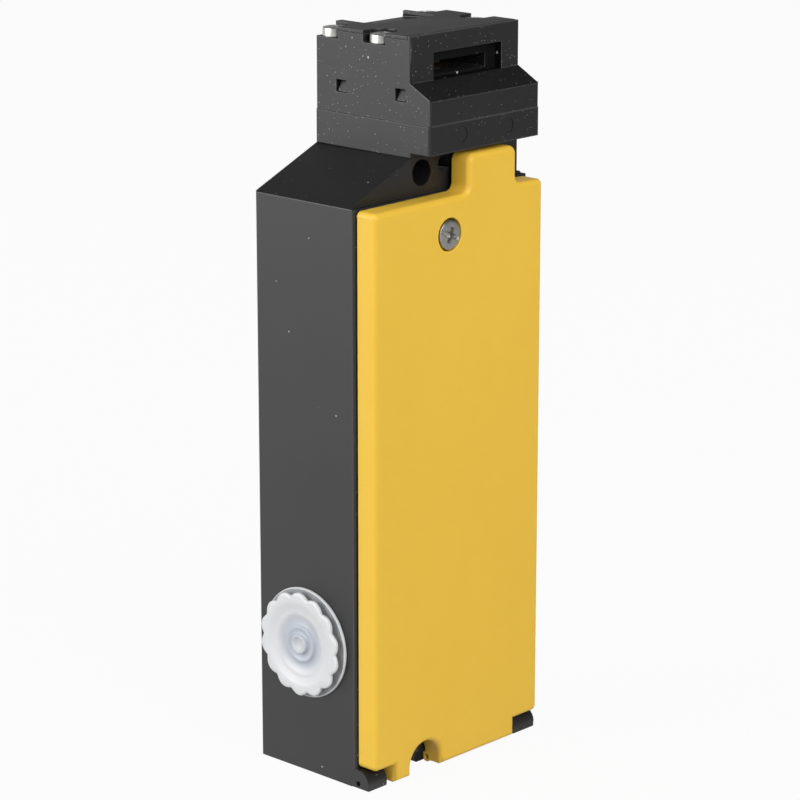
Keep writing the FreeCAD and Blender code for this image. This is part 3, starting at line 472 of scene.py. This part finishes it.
def slotName(finish):
    # coverYellow is the finish of the slot cover_yellow, and so on
    return "".join("_" + letter.lower() if letter.isupper() else letter for letter in finish)


def placed(piece, finish, *stoodFor):
    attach(piece, nodes[stoodFor[0]]["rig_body"])
    slotName(finish)
    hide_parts(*stoodFor)


def lathe(profile, segments):
    # a form turned about z from (radius, height) pairs, where a radius of 0 makes a pole
    shape = bmesh.new()
    turns = [2 * math.pi * step / segments for step in range(segments)]
    rings = []
    for radius, height in profile:
        if radius < 1e-6:
            rings.append([shape.verts.new((0, 0, height * mm))])
        else:
            rings.append([shape.verts.new((radius * mm * math.cos(turn), radius * mm * math.sin(turn),
                                           height * mm)) for turn in turns])
    for lower, upper in zip(rings, rings[1:]):
        for step in range(segments):
            after = (step + 1) % segments
            if len(lower) == 1:
                shape.faces.new((lower[0], upper[step], upper[after]))
            elif len(upper) == 1:
                shape.faces.new((lower[step], lower[after], upper[0]))
            else:
                shape.faces.new((lower[step], lower[after], upper[after], upper[step]))
    bmesh.ops.recalc_face_normals(shape, faces=shape.faces)
    mesh = bpy.data.meshes.new("lathed")
    shape.to_mesh(mesh)
    shape.free()
    return mesh


facingFront = Matrix(((1, 0, 0), (0, 0, -1), (0, 1, 0)))  # local z points out of the front, y up
facingLeft = Matrix(((0, 0, -1), (0, 1, 0), (1, 0, 0)))  # local z points out of the left side
alongX = Matrix(((0, 0, 1), (0, 1, 0), (-1, 0, 0)))  # local z points to the right
upright = Matrix.Identity(3)


def turned(mesh, facing, origin, inward=False):
    # puts a mesh made about z into its place on the object
    if inward:
        mesh.transform(Matrix.Diagonal((1, 1, -1, 1)))
        mesh.flip_normals()
    mesh.transform(Matrix.Translation(Vector(origin) * mm) @ facing.to_4x4())
    return mesh


def slotCutter(slot, turn=0.0, taper=1.0):
    # a block for a slot of (length, width, depth) below z = 0, narrower at its lower end by the taper
    length, width, depth = slot
    shape = bmesh.new()
    bmesh.ops.create_cube(shape, size=1.0)
    for vertex in shape.verts:
        if vertex.co.z < 0:
            vertex.co.x *= taper
            vertex.co.y *= taper
        vertex.co = Vector([part * size * mm for part, size in zip(vertex.co, (length, width, 2 * depth))])
    bmesh.ops.rotate(shape, verts=shape.verts, cent=(0, 0, 0), matrix=Matrix.Rotation(turn, 3, "Z"))
    mesh = bpy.data.meshes.new("block")
    shape.to_mesh(mesh)
    shape.free()
    return mesh


def cutOut(piece, meshes):
    for mesh in meshes:
        tool = newPiece("tool", mesh)
        boolean = piece.modifiers.new("cutOut", "BOOLEAN")
        boolean.operation = "DIFFERENCE"
        boolean.solver = "EXACT"
        boolean.object = tool
        settle(piece)
        bpy.data.objects.remove(tool)


def newTree(name, inputs):
    # a geometry node tree with named inputs, given as name: (socket type, default)
    tree = bpy.data.node_groups.new(name, "GeometryNodeTree")
    tree.interface.new_socket("Geometry", in_out="INPUT", socket_type="NodeSocketGeometry")
    for label, (kind, value) in inputs.items():
        socket = tree.interface.new_socket(label, in_out="INPUT", socket_type=kind)
        if value is not None:
            socket.default_value = value
    tree.interface.new_socket("Geometry", in_out="OUTPUT", socket_type="NodeSocketGeometry")
    entrance = tree.nodes.new("NodeGroupInput")
    given = {socket.name: Wire(tree, socket) for socket in entrance.outputs if socket.name}
    return tree, given


def closeTree(tree, result, given):
    real = result.node("GeometryNodeRealizeInstances", None, {0: result})
    painted = real.node("GeometryNodeSetMaterial", None, {"Geometry": real, "Material": given["Material"]})
    exitNode = tree.nodes.new("NodeGroupOutput")
    tree.links.new(painted.socket, exitNode.inputs[0])
    return tree


def runTree(piece, tree, values):
    modifier = piece.modifiers.new(tree.name, "NODES")
    modifier.node_group = tree
    for item in tree.interface.items_tree:
        if item.in_out == "INPUT" and item.name in values:
            modifier[item.identifier] = values[item.name]
    return settle(piece)


def wireCoilTree():
    tree, given = newTree("wireCoil", {
        "Turns": ("NodeSocketFloat", 4.0), "Radius": ("NodeSocketFloat", 0.003),
        "Height": ("NodeSocketFloat", 0.005), "Wire radius": ("NodeSocketFloat", 0.00025),
        "Steps per turn": ("NodeSocketInt", 32), "Sides": ("NodeSocketInt", 10),
        "Material": ("NodeSocketMaterial", None)})
    steps = given["Turns"] * given["Steps per turn"]
    path = steps.node("GeometryNodeCurveSpiral", None, {
        "Resolution": given["Steps per turn"], "Rotations": given["Turns"], "Start Radius": given["Radius"],
        "End Radius": given["Radius"], "Height": given["Height"]})
    section = path.node("GeometryNodeCurvePrimitiveCircle", {"mode": "RADIUS"},
                        {"Resolution": given["Sides"], "Radius": given["Wire radius"]})
    tube = path.node("GeometryNodeCurveToMesh", None,
                     {"Curve": path, "Profile Curve": section, "Fill Caps": True})
    smooth = tube.node("GeometryNodeSetShadeSmooth", None, {"Geometry": tube})
    return closeTree(tree, smooth, given)


def setOnPlacesTree():
    # a copy of one fastener on each point, turned about its own axis by a seeded random angle
    tree, given = newTree("setOnPlaces", {
        "Fastener": ("NodeSocketObject", None), "Seed": ("NodeSocketInt", 3),
        "Largest turn": ("NodeSocketFloat", 3.0), "Material": ("NodeSocketMaterial", None)})
    source = given["Fastener"].node("GeometryNodeObjectInfo", None, {"Object": given["Fastener"]}, out=4)
    turn = source.node("FunctionNodeRandomValue", {"data_type": "FLOAT"},
                       {2: 0.0, 3: given["Largest turn"], "Seed": given["Seed"]}, out=1)
    spin = turn.node("ShaderNodeCombineXYZ", None, {"Z": turn})
    points = given["Geometry"].node("GeometryNodeMeshToPoints", None, {"Mesh": given["Geometry"]})
    copies = points.node("GeometryNodeInstanceOnPoints", None,
                         {"Points": points, "Instance": source, "Rotation": spin})
    return closeTree(tree, copies, given)


def lobedRimTree():
    # pushes the rim of a disc about z out and in, in even lobes, and leaves its middle round
    tree, given = newTree("lobedRim", {
        "Lobes": ("NodeSocketFloat", 14.0), "Rise": ("NodeSocketFloat", 0.0005),
        "Inner radius": ("NodeSocketFloat", 0.009), "Outer radius": ("NodeSocketFloat", 0.011),
        "Lowest": ("NodeSocketFloat", 0.0), "Material": ("NodeSocketMaterial", None)})
    start = given["Geometry"]
    place = start.node("GeometryNodeInputPosition")
    x, y, z = (place.node("ShaderNodeSeparateXYZ", None, {0: place}, out=axis) for axis in range(3))
    angle = x.maths("ARCTAN2", y, x)
    radius = x.maths("SQRT", x * x + y * y, 0.0)
    share = x.maths("DIVIDE", radius - given["Inner radius"], given["Outer radius"] - given["Inner radius"])
    share = share.node("ShaderNodeClamp", None, {0: share})
    wave = x.maths("COSINE", angle * given["Lobes"], 0.0)
    plump = 0.55  # below 1, the lobes are wider than the hollows between them
    bump = x.maths("POWER", wave * 0.5 + 0.5, plump) * 2.0 - 1.0
    push = bump * given["Rise"] * share * (z > given["Lowest"])
    away = x.node("ShaderNodeCombineXYZ", None,
                  {0: x.maths("COSINE", angle, 0.0) * push, 1: x.maths("SINE", angle, 0.0) * push})
    moved = start.node("GeometryNodeSetPosition", None, {"Geometry": start, "Offset": away})
    return closeTree(tree, moved, given)


wireCoil = wireCoilTree()
setOnPlaces = setOnPlacesTree()
lobedRim = lobedRimTree()
print("geometry node trees ready")


cameraLooks = {"yaw": -46.68, "pitch": 15.30, "lens": 140.52, "target": (-0.86, -17.0, 77.12),
               "distance": 659.44}


def makeCamera():
    yaw, pitch = math.radians(cameraLooks["yaw"]), math.radians(cameraLooks["pitch"])
    back = Vector((math.sin(yaw) * math.cos(pitch), -math.cos(yaw) * math.cos(pitch), math.sin(pitch)))
    data = bpy.data.cameras.new("camera")
    data.lens = cameraLooks["lens"]
    data.sensor_width = 36.0
    data.clip_start, data.clip_end = 0.01, 100.0
    camera = bpy.data.objects.new("camera", data)
    bpy.context.scene.collection.objects.link(camera)
    camera.location = Vector(cameraLooks["target"]) * mm + back * cameraLooks["distance"] * mm
    camera.rotation_mode = "QUATERNION"
    camera.rotation_quaternion = (-back).to_track_quat("-Z", "Y")
    bpy.context.scene.camera = camera


makeCamera()

lampLooks = {
    "frontBox": {"at": (-0.30, -1.35, 0.85), "size": 1.0, "power": 19.5},
    "leftBox": {"at": (-1.15, 0.60, 0.42), "size": 1.1, "power": 17.5},
    "topBox": {"at": (0.3, -0.2, 1.6), "size": 0.8, "power": 1.5},
}
lampAim = (0, -0.014, 0.08)
worldLooks = {"ambient": 0.32, "frontWall": 0.12, "ceiling": 0.10, "away": (0.65, 0.76),
              "wallEdge": (-0.45, 0.60), "ceilingEdge": (0.20, 0.48)}
floorLooks = {"reach": 6.0, "whiteShare": 0.95, "matt": (0.45, 0.45, 0.45), "wallEdge": (-0.10, 0.02)}


def makeLamps():
    for name, looks in lampLooks.items():
        data = bpy.data.lights.new(name, "AREA")
        data.shape = "SQUARE"
        data.size = looks["size"]
        data.energy = looks["power"]
        lamp = bpy.data.objects.new(name, data)
        bpy.context.scene.collection.objects.link(lamp)
        lamp.location = looks["at"]
        aim = Vector(lampAim) - lamp.location
        lamp.rotation_euler = aim.to_track_quat("-Z", "Y").to_euler()


def whiteRays(start):
    # the rays that should meet the plain white surround: the camera's, and those bounced or passed on
    camera = start.node("ShaderNodeLightPath", out=0)
    glossy = start.node("ShaderNodeLightPath", out=3)
    through = start.node("ShaderNodeLightPath", out=6)
    return camera, glossy.maths("MAXIMUM", glossy, through)


def behindPart(x, y, edge):
    # 1 on the side that the camera looks towards, and the front wall's share on the camera's side
    right, back = worldLooks["away"]
    return ramp(y * back - x * right, *edge, worldLooks["frontWall"], 1.0)


def makeWorld():
    world = bpy.data.worlds.new("studio")
    world.use_nodes = True
    tree = world.node_tree
    tree.nodes.clear()
    start = Wire(tree)
    way = start.node("ShaderNodeTexCoord", out=0)
    x, y, z = (way.node("ShaderNodeSeparateXYZ", None, {0: way}, out=axis) for axis in range(3))
    behind = behindPart(x, y, worldLooks["wallEdge"])
    high = ramp(z, *worldLooks["ceilingEdge"], 1.0, worldLooks["ceiling"])
    camera, bounced = whiteRays(start)
    share = camera.maths("MAXIMUM", camera, bounced * behind * high)
    strength = share.maths("MAXIMUM", share, worldLooks["ambient"] * (1.0 - bounced))
    glow = start.node("ShaderNodeBackground", None, {"Color": colour(1, 1, 1), "Strength": strength})
    end = tree.nodes.new("ShaderNodeOutputWorld")
    tree.links.new(glow.socket, end.inputs["Surface"])
    bpy.context.scene.world = world


def makeFloor():
    mesh = bpy.data.meshes.new("floor")
    reach = floorLooks["reach"]
    corners = [(-reach, -reach, 0), (reach, -reach, 0), (reach, reach, 0), (-reach, reach, 0)]
    mesh.from_pydata(corners, [], [(0, 1, 2, 3)])
    floor = newPiece("floor", mesh)
    material = bpy.data.materials.new("paleFloor")
    material.use_nodes = True
    tree = material.node_tree
    tree.nodes.clear()
    start = Wire(tree)
    matt = start.node("ShaderNodeBsdfDiffuse", None, {"Color": colour(*floorLooks["matt"])})
    white = start.node("ShaderNodeEmission", None, {"Color": colour(1, 1, 1), "Strength": 1.0})
    place = start.node("ShaderNodeTexCoord", out=3)
    x, y = (place.node("ShaderNodeSeparateXYZ", None, {0: place}, out=axis) for axis in range(2))
    behind = behindPart(x, y, floorLooks["wallEdge"])
    camera, bounced = whiteRays(start)
    share = camera.maths("MAXIMUM", camera, bounced * behind) * floorLooks["whiteShare"]
    mixed = start.node("ShaderNodeMixShader", None, {0: share, 1: matt, 2: white})
    end = tree.nodes.new("ShaderNodeOutputMaterial")
    tree.links.new(mixed.socket, end.inputs["Surface"])
    mesh.materials.append(material)


makeLamps()
makeWorld()
makeFloor()
bpy.context.scene.view_settings.view_transform = "Standard"
print("camera, light and floor ready")


markLooks = {"places": ((1.2, 135.6), (15.3, 135.6)), "radius": 1.7, "depth": 0.12, "above": 0.5,
             "front": -32.4}


def roundMark(place):
    # a shallow round mark in the base's front, where an ejector pin met it
    radius, depth, above = markLooks["radius"], markLooks["depth"], markLooks["above"]
    disc = lathe([(0, -above), (radius, -above), (radius, depth), (0, depth)], 32)
    return turned(disc, facingFront, (place[0], markLooks["front"], place[1]), inward=True)


softLooks = {
    # piece: (node, edge radius in mm, finish, finish of the rounded edges); on the head the edge finish is
    # partly edge wear and partly a painted highlight, on the cam wheel it is a painted glint
    "housingShell": ("housing", 0.22, "bodyBlack", "bodyBlackEdge"),
    "frontCover": ("cover", 0.18, "coverYellow", "coverYellowEdge"),
    "coverGasket": ("cover_gasket", 0.30, "sealRubber", None),
    "hingePins": ("hinge_pins", 0.10, "platedSteel", None),
    "headBase": ("head_base", 0.18, "headBlack", "headBlackEdge"),
    "headBody": ("head_body", 0.16, "headBlack", "headBlackEdge"),
    "headTopPlate": ("head_plate", 0.12, "headBlack", "headBlackEdge"),
    "camWheel": ("cam_wheel", 0.22, "camSteel", "camSteelEdge"),
    "camAxle": ("cam_axle", 0.15, "platedSteel", None),
    "plungerRod": ("plunger", 0.12, "plungerWhite", None),
    "neckSeal": ("neck_seal", 0.18, "sealRubber", None),
    "solenoidYoke": ("solenoid_yoke", 0.20, "yokeSteel", None),
    "coilBobbin": ("solenoid_bobbin", 0.12, "bobbinBlack", None),
    "coilCore": ("solenoid_core", 0.12, "yokeSteel", None),
    "armatureRod": ("armature", 0.15, "platedSteel", None),
    "lockPlate": ("lock_plate", 0.15, "yokeSteel", None),
    "positionBlock": ("position_contact_block", 0.15, "blockGrey", None),
    "positionContacts": ("position_contacts", 0.08, "contactBrass", None),
    "positionSlide": ("position_slide", 0.15, "plungerWhite", None),
    "positionBridges": ("position_bridges", 0.10, "contactBrass", None),
    "lockBlock": ("lock_contact_block", 0.15, "blockGrey", None),
    "lockContacts": ("lock_contacts", 0.08, "contactBrass", None),
    "lockSlide": ("lock_slide", 0.15, "plungerWhite", None),
    "lockBridges": ("lock_bridges", 0.10, "contactBrass", None),
    "supplyBlock": ("supply_terminal_block", 0.15, "blockGrey", None),
    "terminalClamps": ("terminal_clamps", 0.08, "contactBrass", None),
}
sunkMarks = {"headBase": [roundMark(place) for place in markLooks["places"]]}
for name, (node, width, finish, edge) in softLooks.items():
    piece = softened(name, node, width, finish, edge)
    if name in sunkMarks:
        cutOut(piece, sunkMarks[name])
        flatten(piece)
    placed(piece, finish, node)
print("mouldings and pressings ready:", len(softLooks))

screwForm = {"tip": 0.72, "lead": 0.4, "ridge": 0.25, "valley": 0.6, "root": 0.84, "under": 0.12,
             "rim": 0.18, "steps": 5, "inwards": 0.16, "taper": 0.09, "upwards": 0.62, "flat": 0.42,
             "drop": 0.08, "smooth": 40}
coverScrewLooks = {"head": 3.15, "side": 2.72, "crown": 3.03, "shank": 1.7, "length": 10.6, "pitch": 0.6,
                   "segments": 48, "slotTurn": -23, "slot": (6.6, 0.85, 0.5), "cross": (3.7, 1.2, 1.5),
                   "taper": 0.8, "edge": 0.07, "at": (-3.05, -33.36, 115.5)}
headScrewLooks = {"head": 2.75, "side": 1.75, "crown": 2.0, "shank": 1.45, "length": 22.05, "pitch": 0.6,
                  "segments": 36, "cross": (3.1, 0.75, 1.1), "taper": 0.75, "top": 155.55,
                  "spread": 13.85, "centre": 8.35, "backs": (-3.1, -16.6), "seed": 4}
terminalLooks = {"head": 2.0, "side": 1.15, "crown": 1.4, "shank": 1.15, "length": 1.98, "pitch": 0,
                 "segments": 28, "slot": (4.4, 0.6, 0.75), "seed": 11,
                 "spots": ((0.3, -18.2, 42.6), (0.3, -18.2, 59.4), (16.4, -18.2, 42.6),
                           (16.4, -18.2, 59.4), (-6.1, -16.2, 67.95), (-16.9, -16.2, 67.95),
                           (-6.1, -16.2, 82.05), (-16.9, -16.2, 82.05), (-13.9, -14.2, 51.75),
                           (-8.1, -14.2, 51.75))}


def screwProfile(looks):
    # (radius, height) pairs from the tip to the middle of the head, whose top is at 0
    form, head, shank, pitch = screwForm, looks["head"], looks["shank"], looks["pitch"]
    seat, rise = -looks["crown"], looks["crown"] - looks["side"]
    rim = seat + looks["side"]
    height = -looks["length"] + form["lead"]
    points = [(0, -looks["length"]), (shank * form["tip"], -looks["length"]), (shank, height)]
    while pitch and height + pitch < seat - form["lead"]:  # ridges stand for the thread
        points += [(shank, height + pitch * form["ridge"]),
                   (shank * form["root"], height + pitch * form["valley"]), (shank, height + pitch)]
        height += pitch
    points += [(shank, seat), (head - form["under"], seat), (head, seat + form["under"]),
               (head, rim - form["rim"])]
    for step in range(1, form["steps"] + 1):
        turn = math.radians(90 * step / form["steps"])
        share = 1 - form["inwards"] * (1 - math.cos(turn)) - form["taper"] * step / form["steps"]
        points.append((head * share, rim + rise * math.sin(turn) * form["upwards"]))
    points += [(head * form["flat"], -rise * form["drop"]), (0, 0)]
    return points


def coverScrew():
    looks = coverScrewLooks
    piece = newPiece("coverScrew", lathe(screwProfile(looks), looks["segments"]))
    turn = math.radians(looks["slotTurn"])
    recesses = ((looks["slot"], 0), (looks["cross"], 0), (looks["cross"], math.pi / 2))
    cutOut(piece, [slotCutter(slot, turn + extra, looks["taper"]) for slot, extra in recesses])
    piece.data.materials.clear()
    piece.data.materials.append(finishes["platedSteel"])
    bevel = piece.modifiers.new("brokenEdges", "BEVEL")
    bevel.width = looks["edge"] * mm
    bevel.segments = 2
    bevel.limit_method = "ANGLE"
    bevel.angle_limit = math.radians(screwForm["smooth"])
    settle(piece)
    turned(piece.data, facingFront, looks["at"])
    smoothByAngle(piece.data, screwForm["smooth"])
    placed(piece, "platedSteel", "cover_screw")


def screwRow(name, node, looks, cutters, spots, facing):
    # one mesh of many screws, set on their places by the node tree
    template = newPiece(name + "Pattern", lathe(screwProfile(looks), looks["segments"]))
    cutOut(template, cutters)
    template.data.materials.clear()
    spotMesh = bpy.data.meshes.new(name + "Spots")
    back = facing.transposed()
    spotMesh.from_pydata([back @ (Vector(spot) * mm) for spot in spots], [], [])
    row = newPiece(name, spotMesh)
    runTree(row, setOnPlaces, {"Fastener": template, "Seed": looks["seed"], "Largest turn": math.pi,
                               "Material": finishes["platedSteel"]})
    bpy.data.objects.remove(template)
    turned(row.data, facing, (0, 0, 0))
    smoothByAngle(row.data, screwForm["smooth"])
    placed(row, "platedSteel", node)


def headScrews():
    looks = headScrewLooks
    cutters = [slotCutter(looks["cross"], turn, looks["taper"]) for turn in (0, math.pi / 2)]
    spots = [(looks["centre"] + side * looks["spread"], back, looks["top"])
             for side in (-1, 1) for back in looks["backs"]]
    screwRow("headScrews", "head_screws", looks, cutters, spots, upright)


def terminalScrews():
    looks = terminalLooks
    screwRow("terminalScrews", "terminal_screws", looks, [slotCutter(looks["slot"])], looks["spots"],
             facingFront)


coverScrew()
headScrews()
terminalScrews()
print("screws ready")


plugLooks = {"centre": (-26.25, -13.9, 28.9), "flange": 11.9, "flangeEdge": 0.7, "grip": 10.9, "lobes": 14,
             "rise": 0.45, "segments": 224, "lobesFrom": 9.0, "lobesTo": 10.6, "lobesAbove": 1.55,
             "ribs": 4, "ribStart": -6.6, "ribPitch": 1.5, "ribTop": 9.19, "ribRoot": 8.85}


def dustPlug():
    looks = plugLooks
    profile = [(0, -1.2), (8.2, -1.2), (8.3, -1.3), (8.3, -7.0), (8.95, -7.0)]
    for rib in range(looks["ribs"]):  # shallow ribs that bite in the entry's thread
        height = looks["ribStart"] + looks["ribPitch"] * rib
        profile += [(looks["ribTop"], height), (looks["ribTop"], height + 0.35),
                    (looks["ribRoot"], height + 0.75), (looks["ribRoot"], height + 1.1)]
    profile += [(looks["ribTop"], 0), (11.75, 0), (looks["flange"], 0.12), (looks["flange"], 0.50),
                (11.72, looks["flangeEdge"]), (8.5, looks["flangeEdge"]), (8.4, 0.8), (8.4, 1.5),
                (8.6, 1.6), (10.6, 1.6), (10.82, 1.68), (looks["grip"], 1.85), (looks["grip"], 2.2),
                (10.8, 2.36), (10.6, 2.46), (10.3, 2.5), (9.1, 2.5),
                (8.85, 2.44), (8.6, 2.36), (7.6, 2.06), (7.2, 1.98), (6.85, 1.98), (6.5, 1.92), (6.1, 1.74),
                (5.6, 1.5), (5.1, 1.38), (4.6, 1.38), (4.2, 1.5), (3.98, 1.72), (3.86, 1.9), (3.68, 1.98),
                (3.45, 1.93), (3.0, 1.72), (2.4, 1.66), (2.14, 1.8), (2.05, 2.22), (1.97, 2.41), (1.83, 2.49),
                (1.66, 2.46), (1.5, 2.22), (1.2, 1.98), (0, 1.86)]
    piece = newPiece("dustPlug", lathe(profile, looks["segments"]))
    runTree(piece, lobedRim, {"Lobes": float(looks["lobes"]), "Rise": looks["rise"] * mm,
                              "Inner radius": looks["lobesFrom"] * mm, "Outer radius": looks["lobesTo"] * mm,
                              "Lowest": looks["lobesAbove"] * mm, "Material": finishes["plugMilky"]})
    turned(piece.data, facingLeft, looks["centre"])
    smoothByAngle(piece.data, 38)
    placed(piece, "plugMilky", "dust_plug")


dustPlug()
print("dust plug ready")


springRest = 0.28  # the end coils stay this far inside the seats, in mm
springLooks = {
    "plungerSpring": {"node": "plunger_spring", "other": "plunger", "turns": 4.0, "radius": 2.6, "wire": 0.25,
                      "start": (8.35, -11.25, 39.5), "end": (8.35, -11.25, 44.2), "facing": upright},
    "armatureSpring": {"node": "armature_spring", "other": "lock", "turns": 4.0, "radius": 4.8, "wire": 0.25,
                       "start": (-4.0, -12.0, 96.0), "end": (2.0, -12.0, 96.0), "facing": alongX},
}
windingLooks = {"radius": 7.0, "wire": 0.2, "inner": 5.95, "low": -20.5, "high": -6.5,
                "axis": (-12.0, 96.0), "sides": 6, "segments": 48}


def spring(name):
    looks = springLooks[name]
    start, end = Vector(looks["start"]), Vector(looks["end"])
    rest = springRest + looks["wire"]
    piece = newPiece(name, bpy.data.meshes.new(name))
    runTree(piece, wireCoil, {"Turns": looks["turns"], "Radius": looks["radius"] * mm,
                              "Height": ((end - start).length - 2 * rest) * mm,
                              "Wire radius": looks["wire"] * mm, "Material": finishes["springSteel"]})
    turned(piece.data, looks["facing"], start + (end - start).normalized() * rest)
    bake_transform(piece)
    slotName("springSteel")
    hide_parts(looks["node"])


def coilWinding():
    looks = windingLooks
    low, high = looks["low"], looks["high"]
    turns = (high - low - 2 * looks["wire"]) / (2 * looks["wire"])
    wire = newPiece("windingWire", bpy.data.meshes.new("windingWire"))
    runTree(wire, wireCoil, {"Turns": turns, "Radius": looks["radius"] * mm,
                             "Height": (high - low - 2 * looks["wire"]) * mm,
                             "Wire radius": looks["wire"] * mm, "Sides": looks["sides"],
                             "Material": finishes["coilTape"]})
    wire.data.transform(Matrix.Translation((0, 0, looks["wire"] * mm)))
    core = lathe([(looks["inner"], 0), (looks["radius"], 0), (looks["radius"], high - low),
                  (looks["inner"], high - low), (looks["inner"], 0)], looks["segments"])
    joined = bmesh.new()
    joined.from_mesh(core)
    bmesh.ops.remove_doubles(joined, verts=joined.verts, dist=1e-6)
    bmesh.ops.recalc_face_normals(joined, faces=joined.faces)
    joined.from_mesh(wire.data)
    mesh = bpy.data.meshes.new("coilWinding")
    joined.to_mesh(mesh)
    joined.free()
    bpy.data.objects.remove(wire)
    mesh.materials.append(finishes["coilTape"])
    turned(mesh, alongX, (low, *looks["axis"]))
    smoothByAngle(mesh, 50)
    placed(newPiece("coilWinding", mesh), "coilTape", "solenoid_coil")


for name in springLooks:
    spring(name)
coilWinding()
print("springs and winding ready")
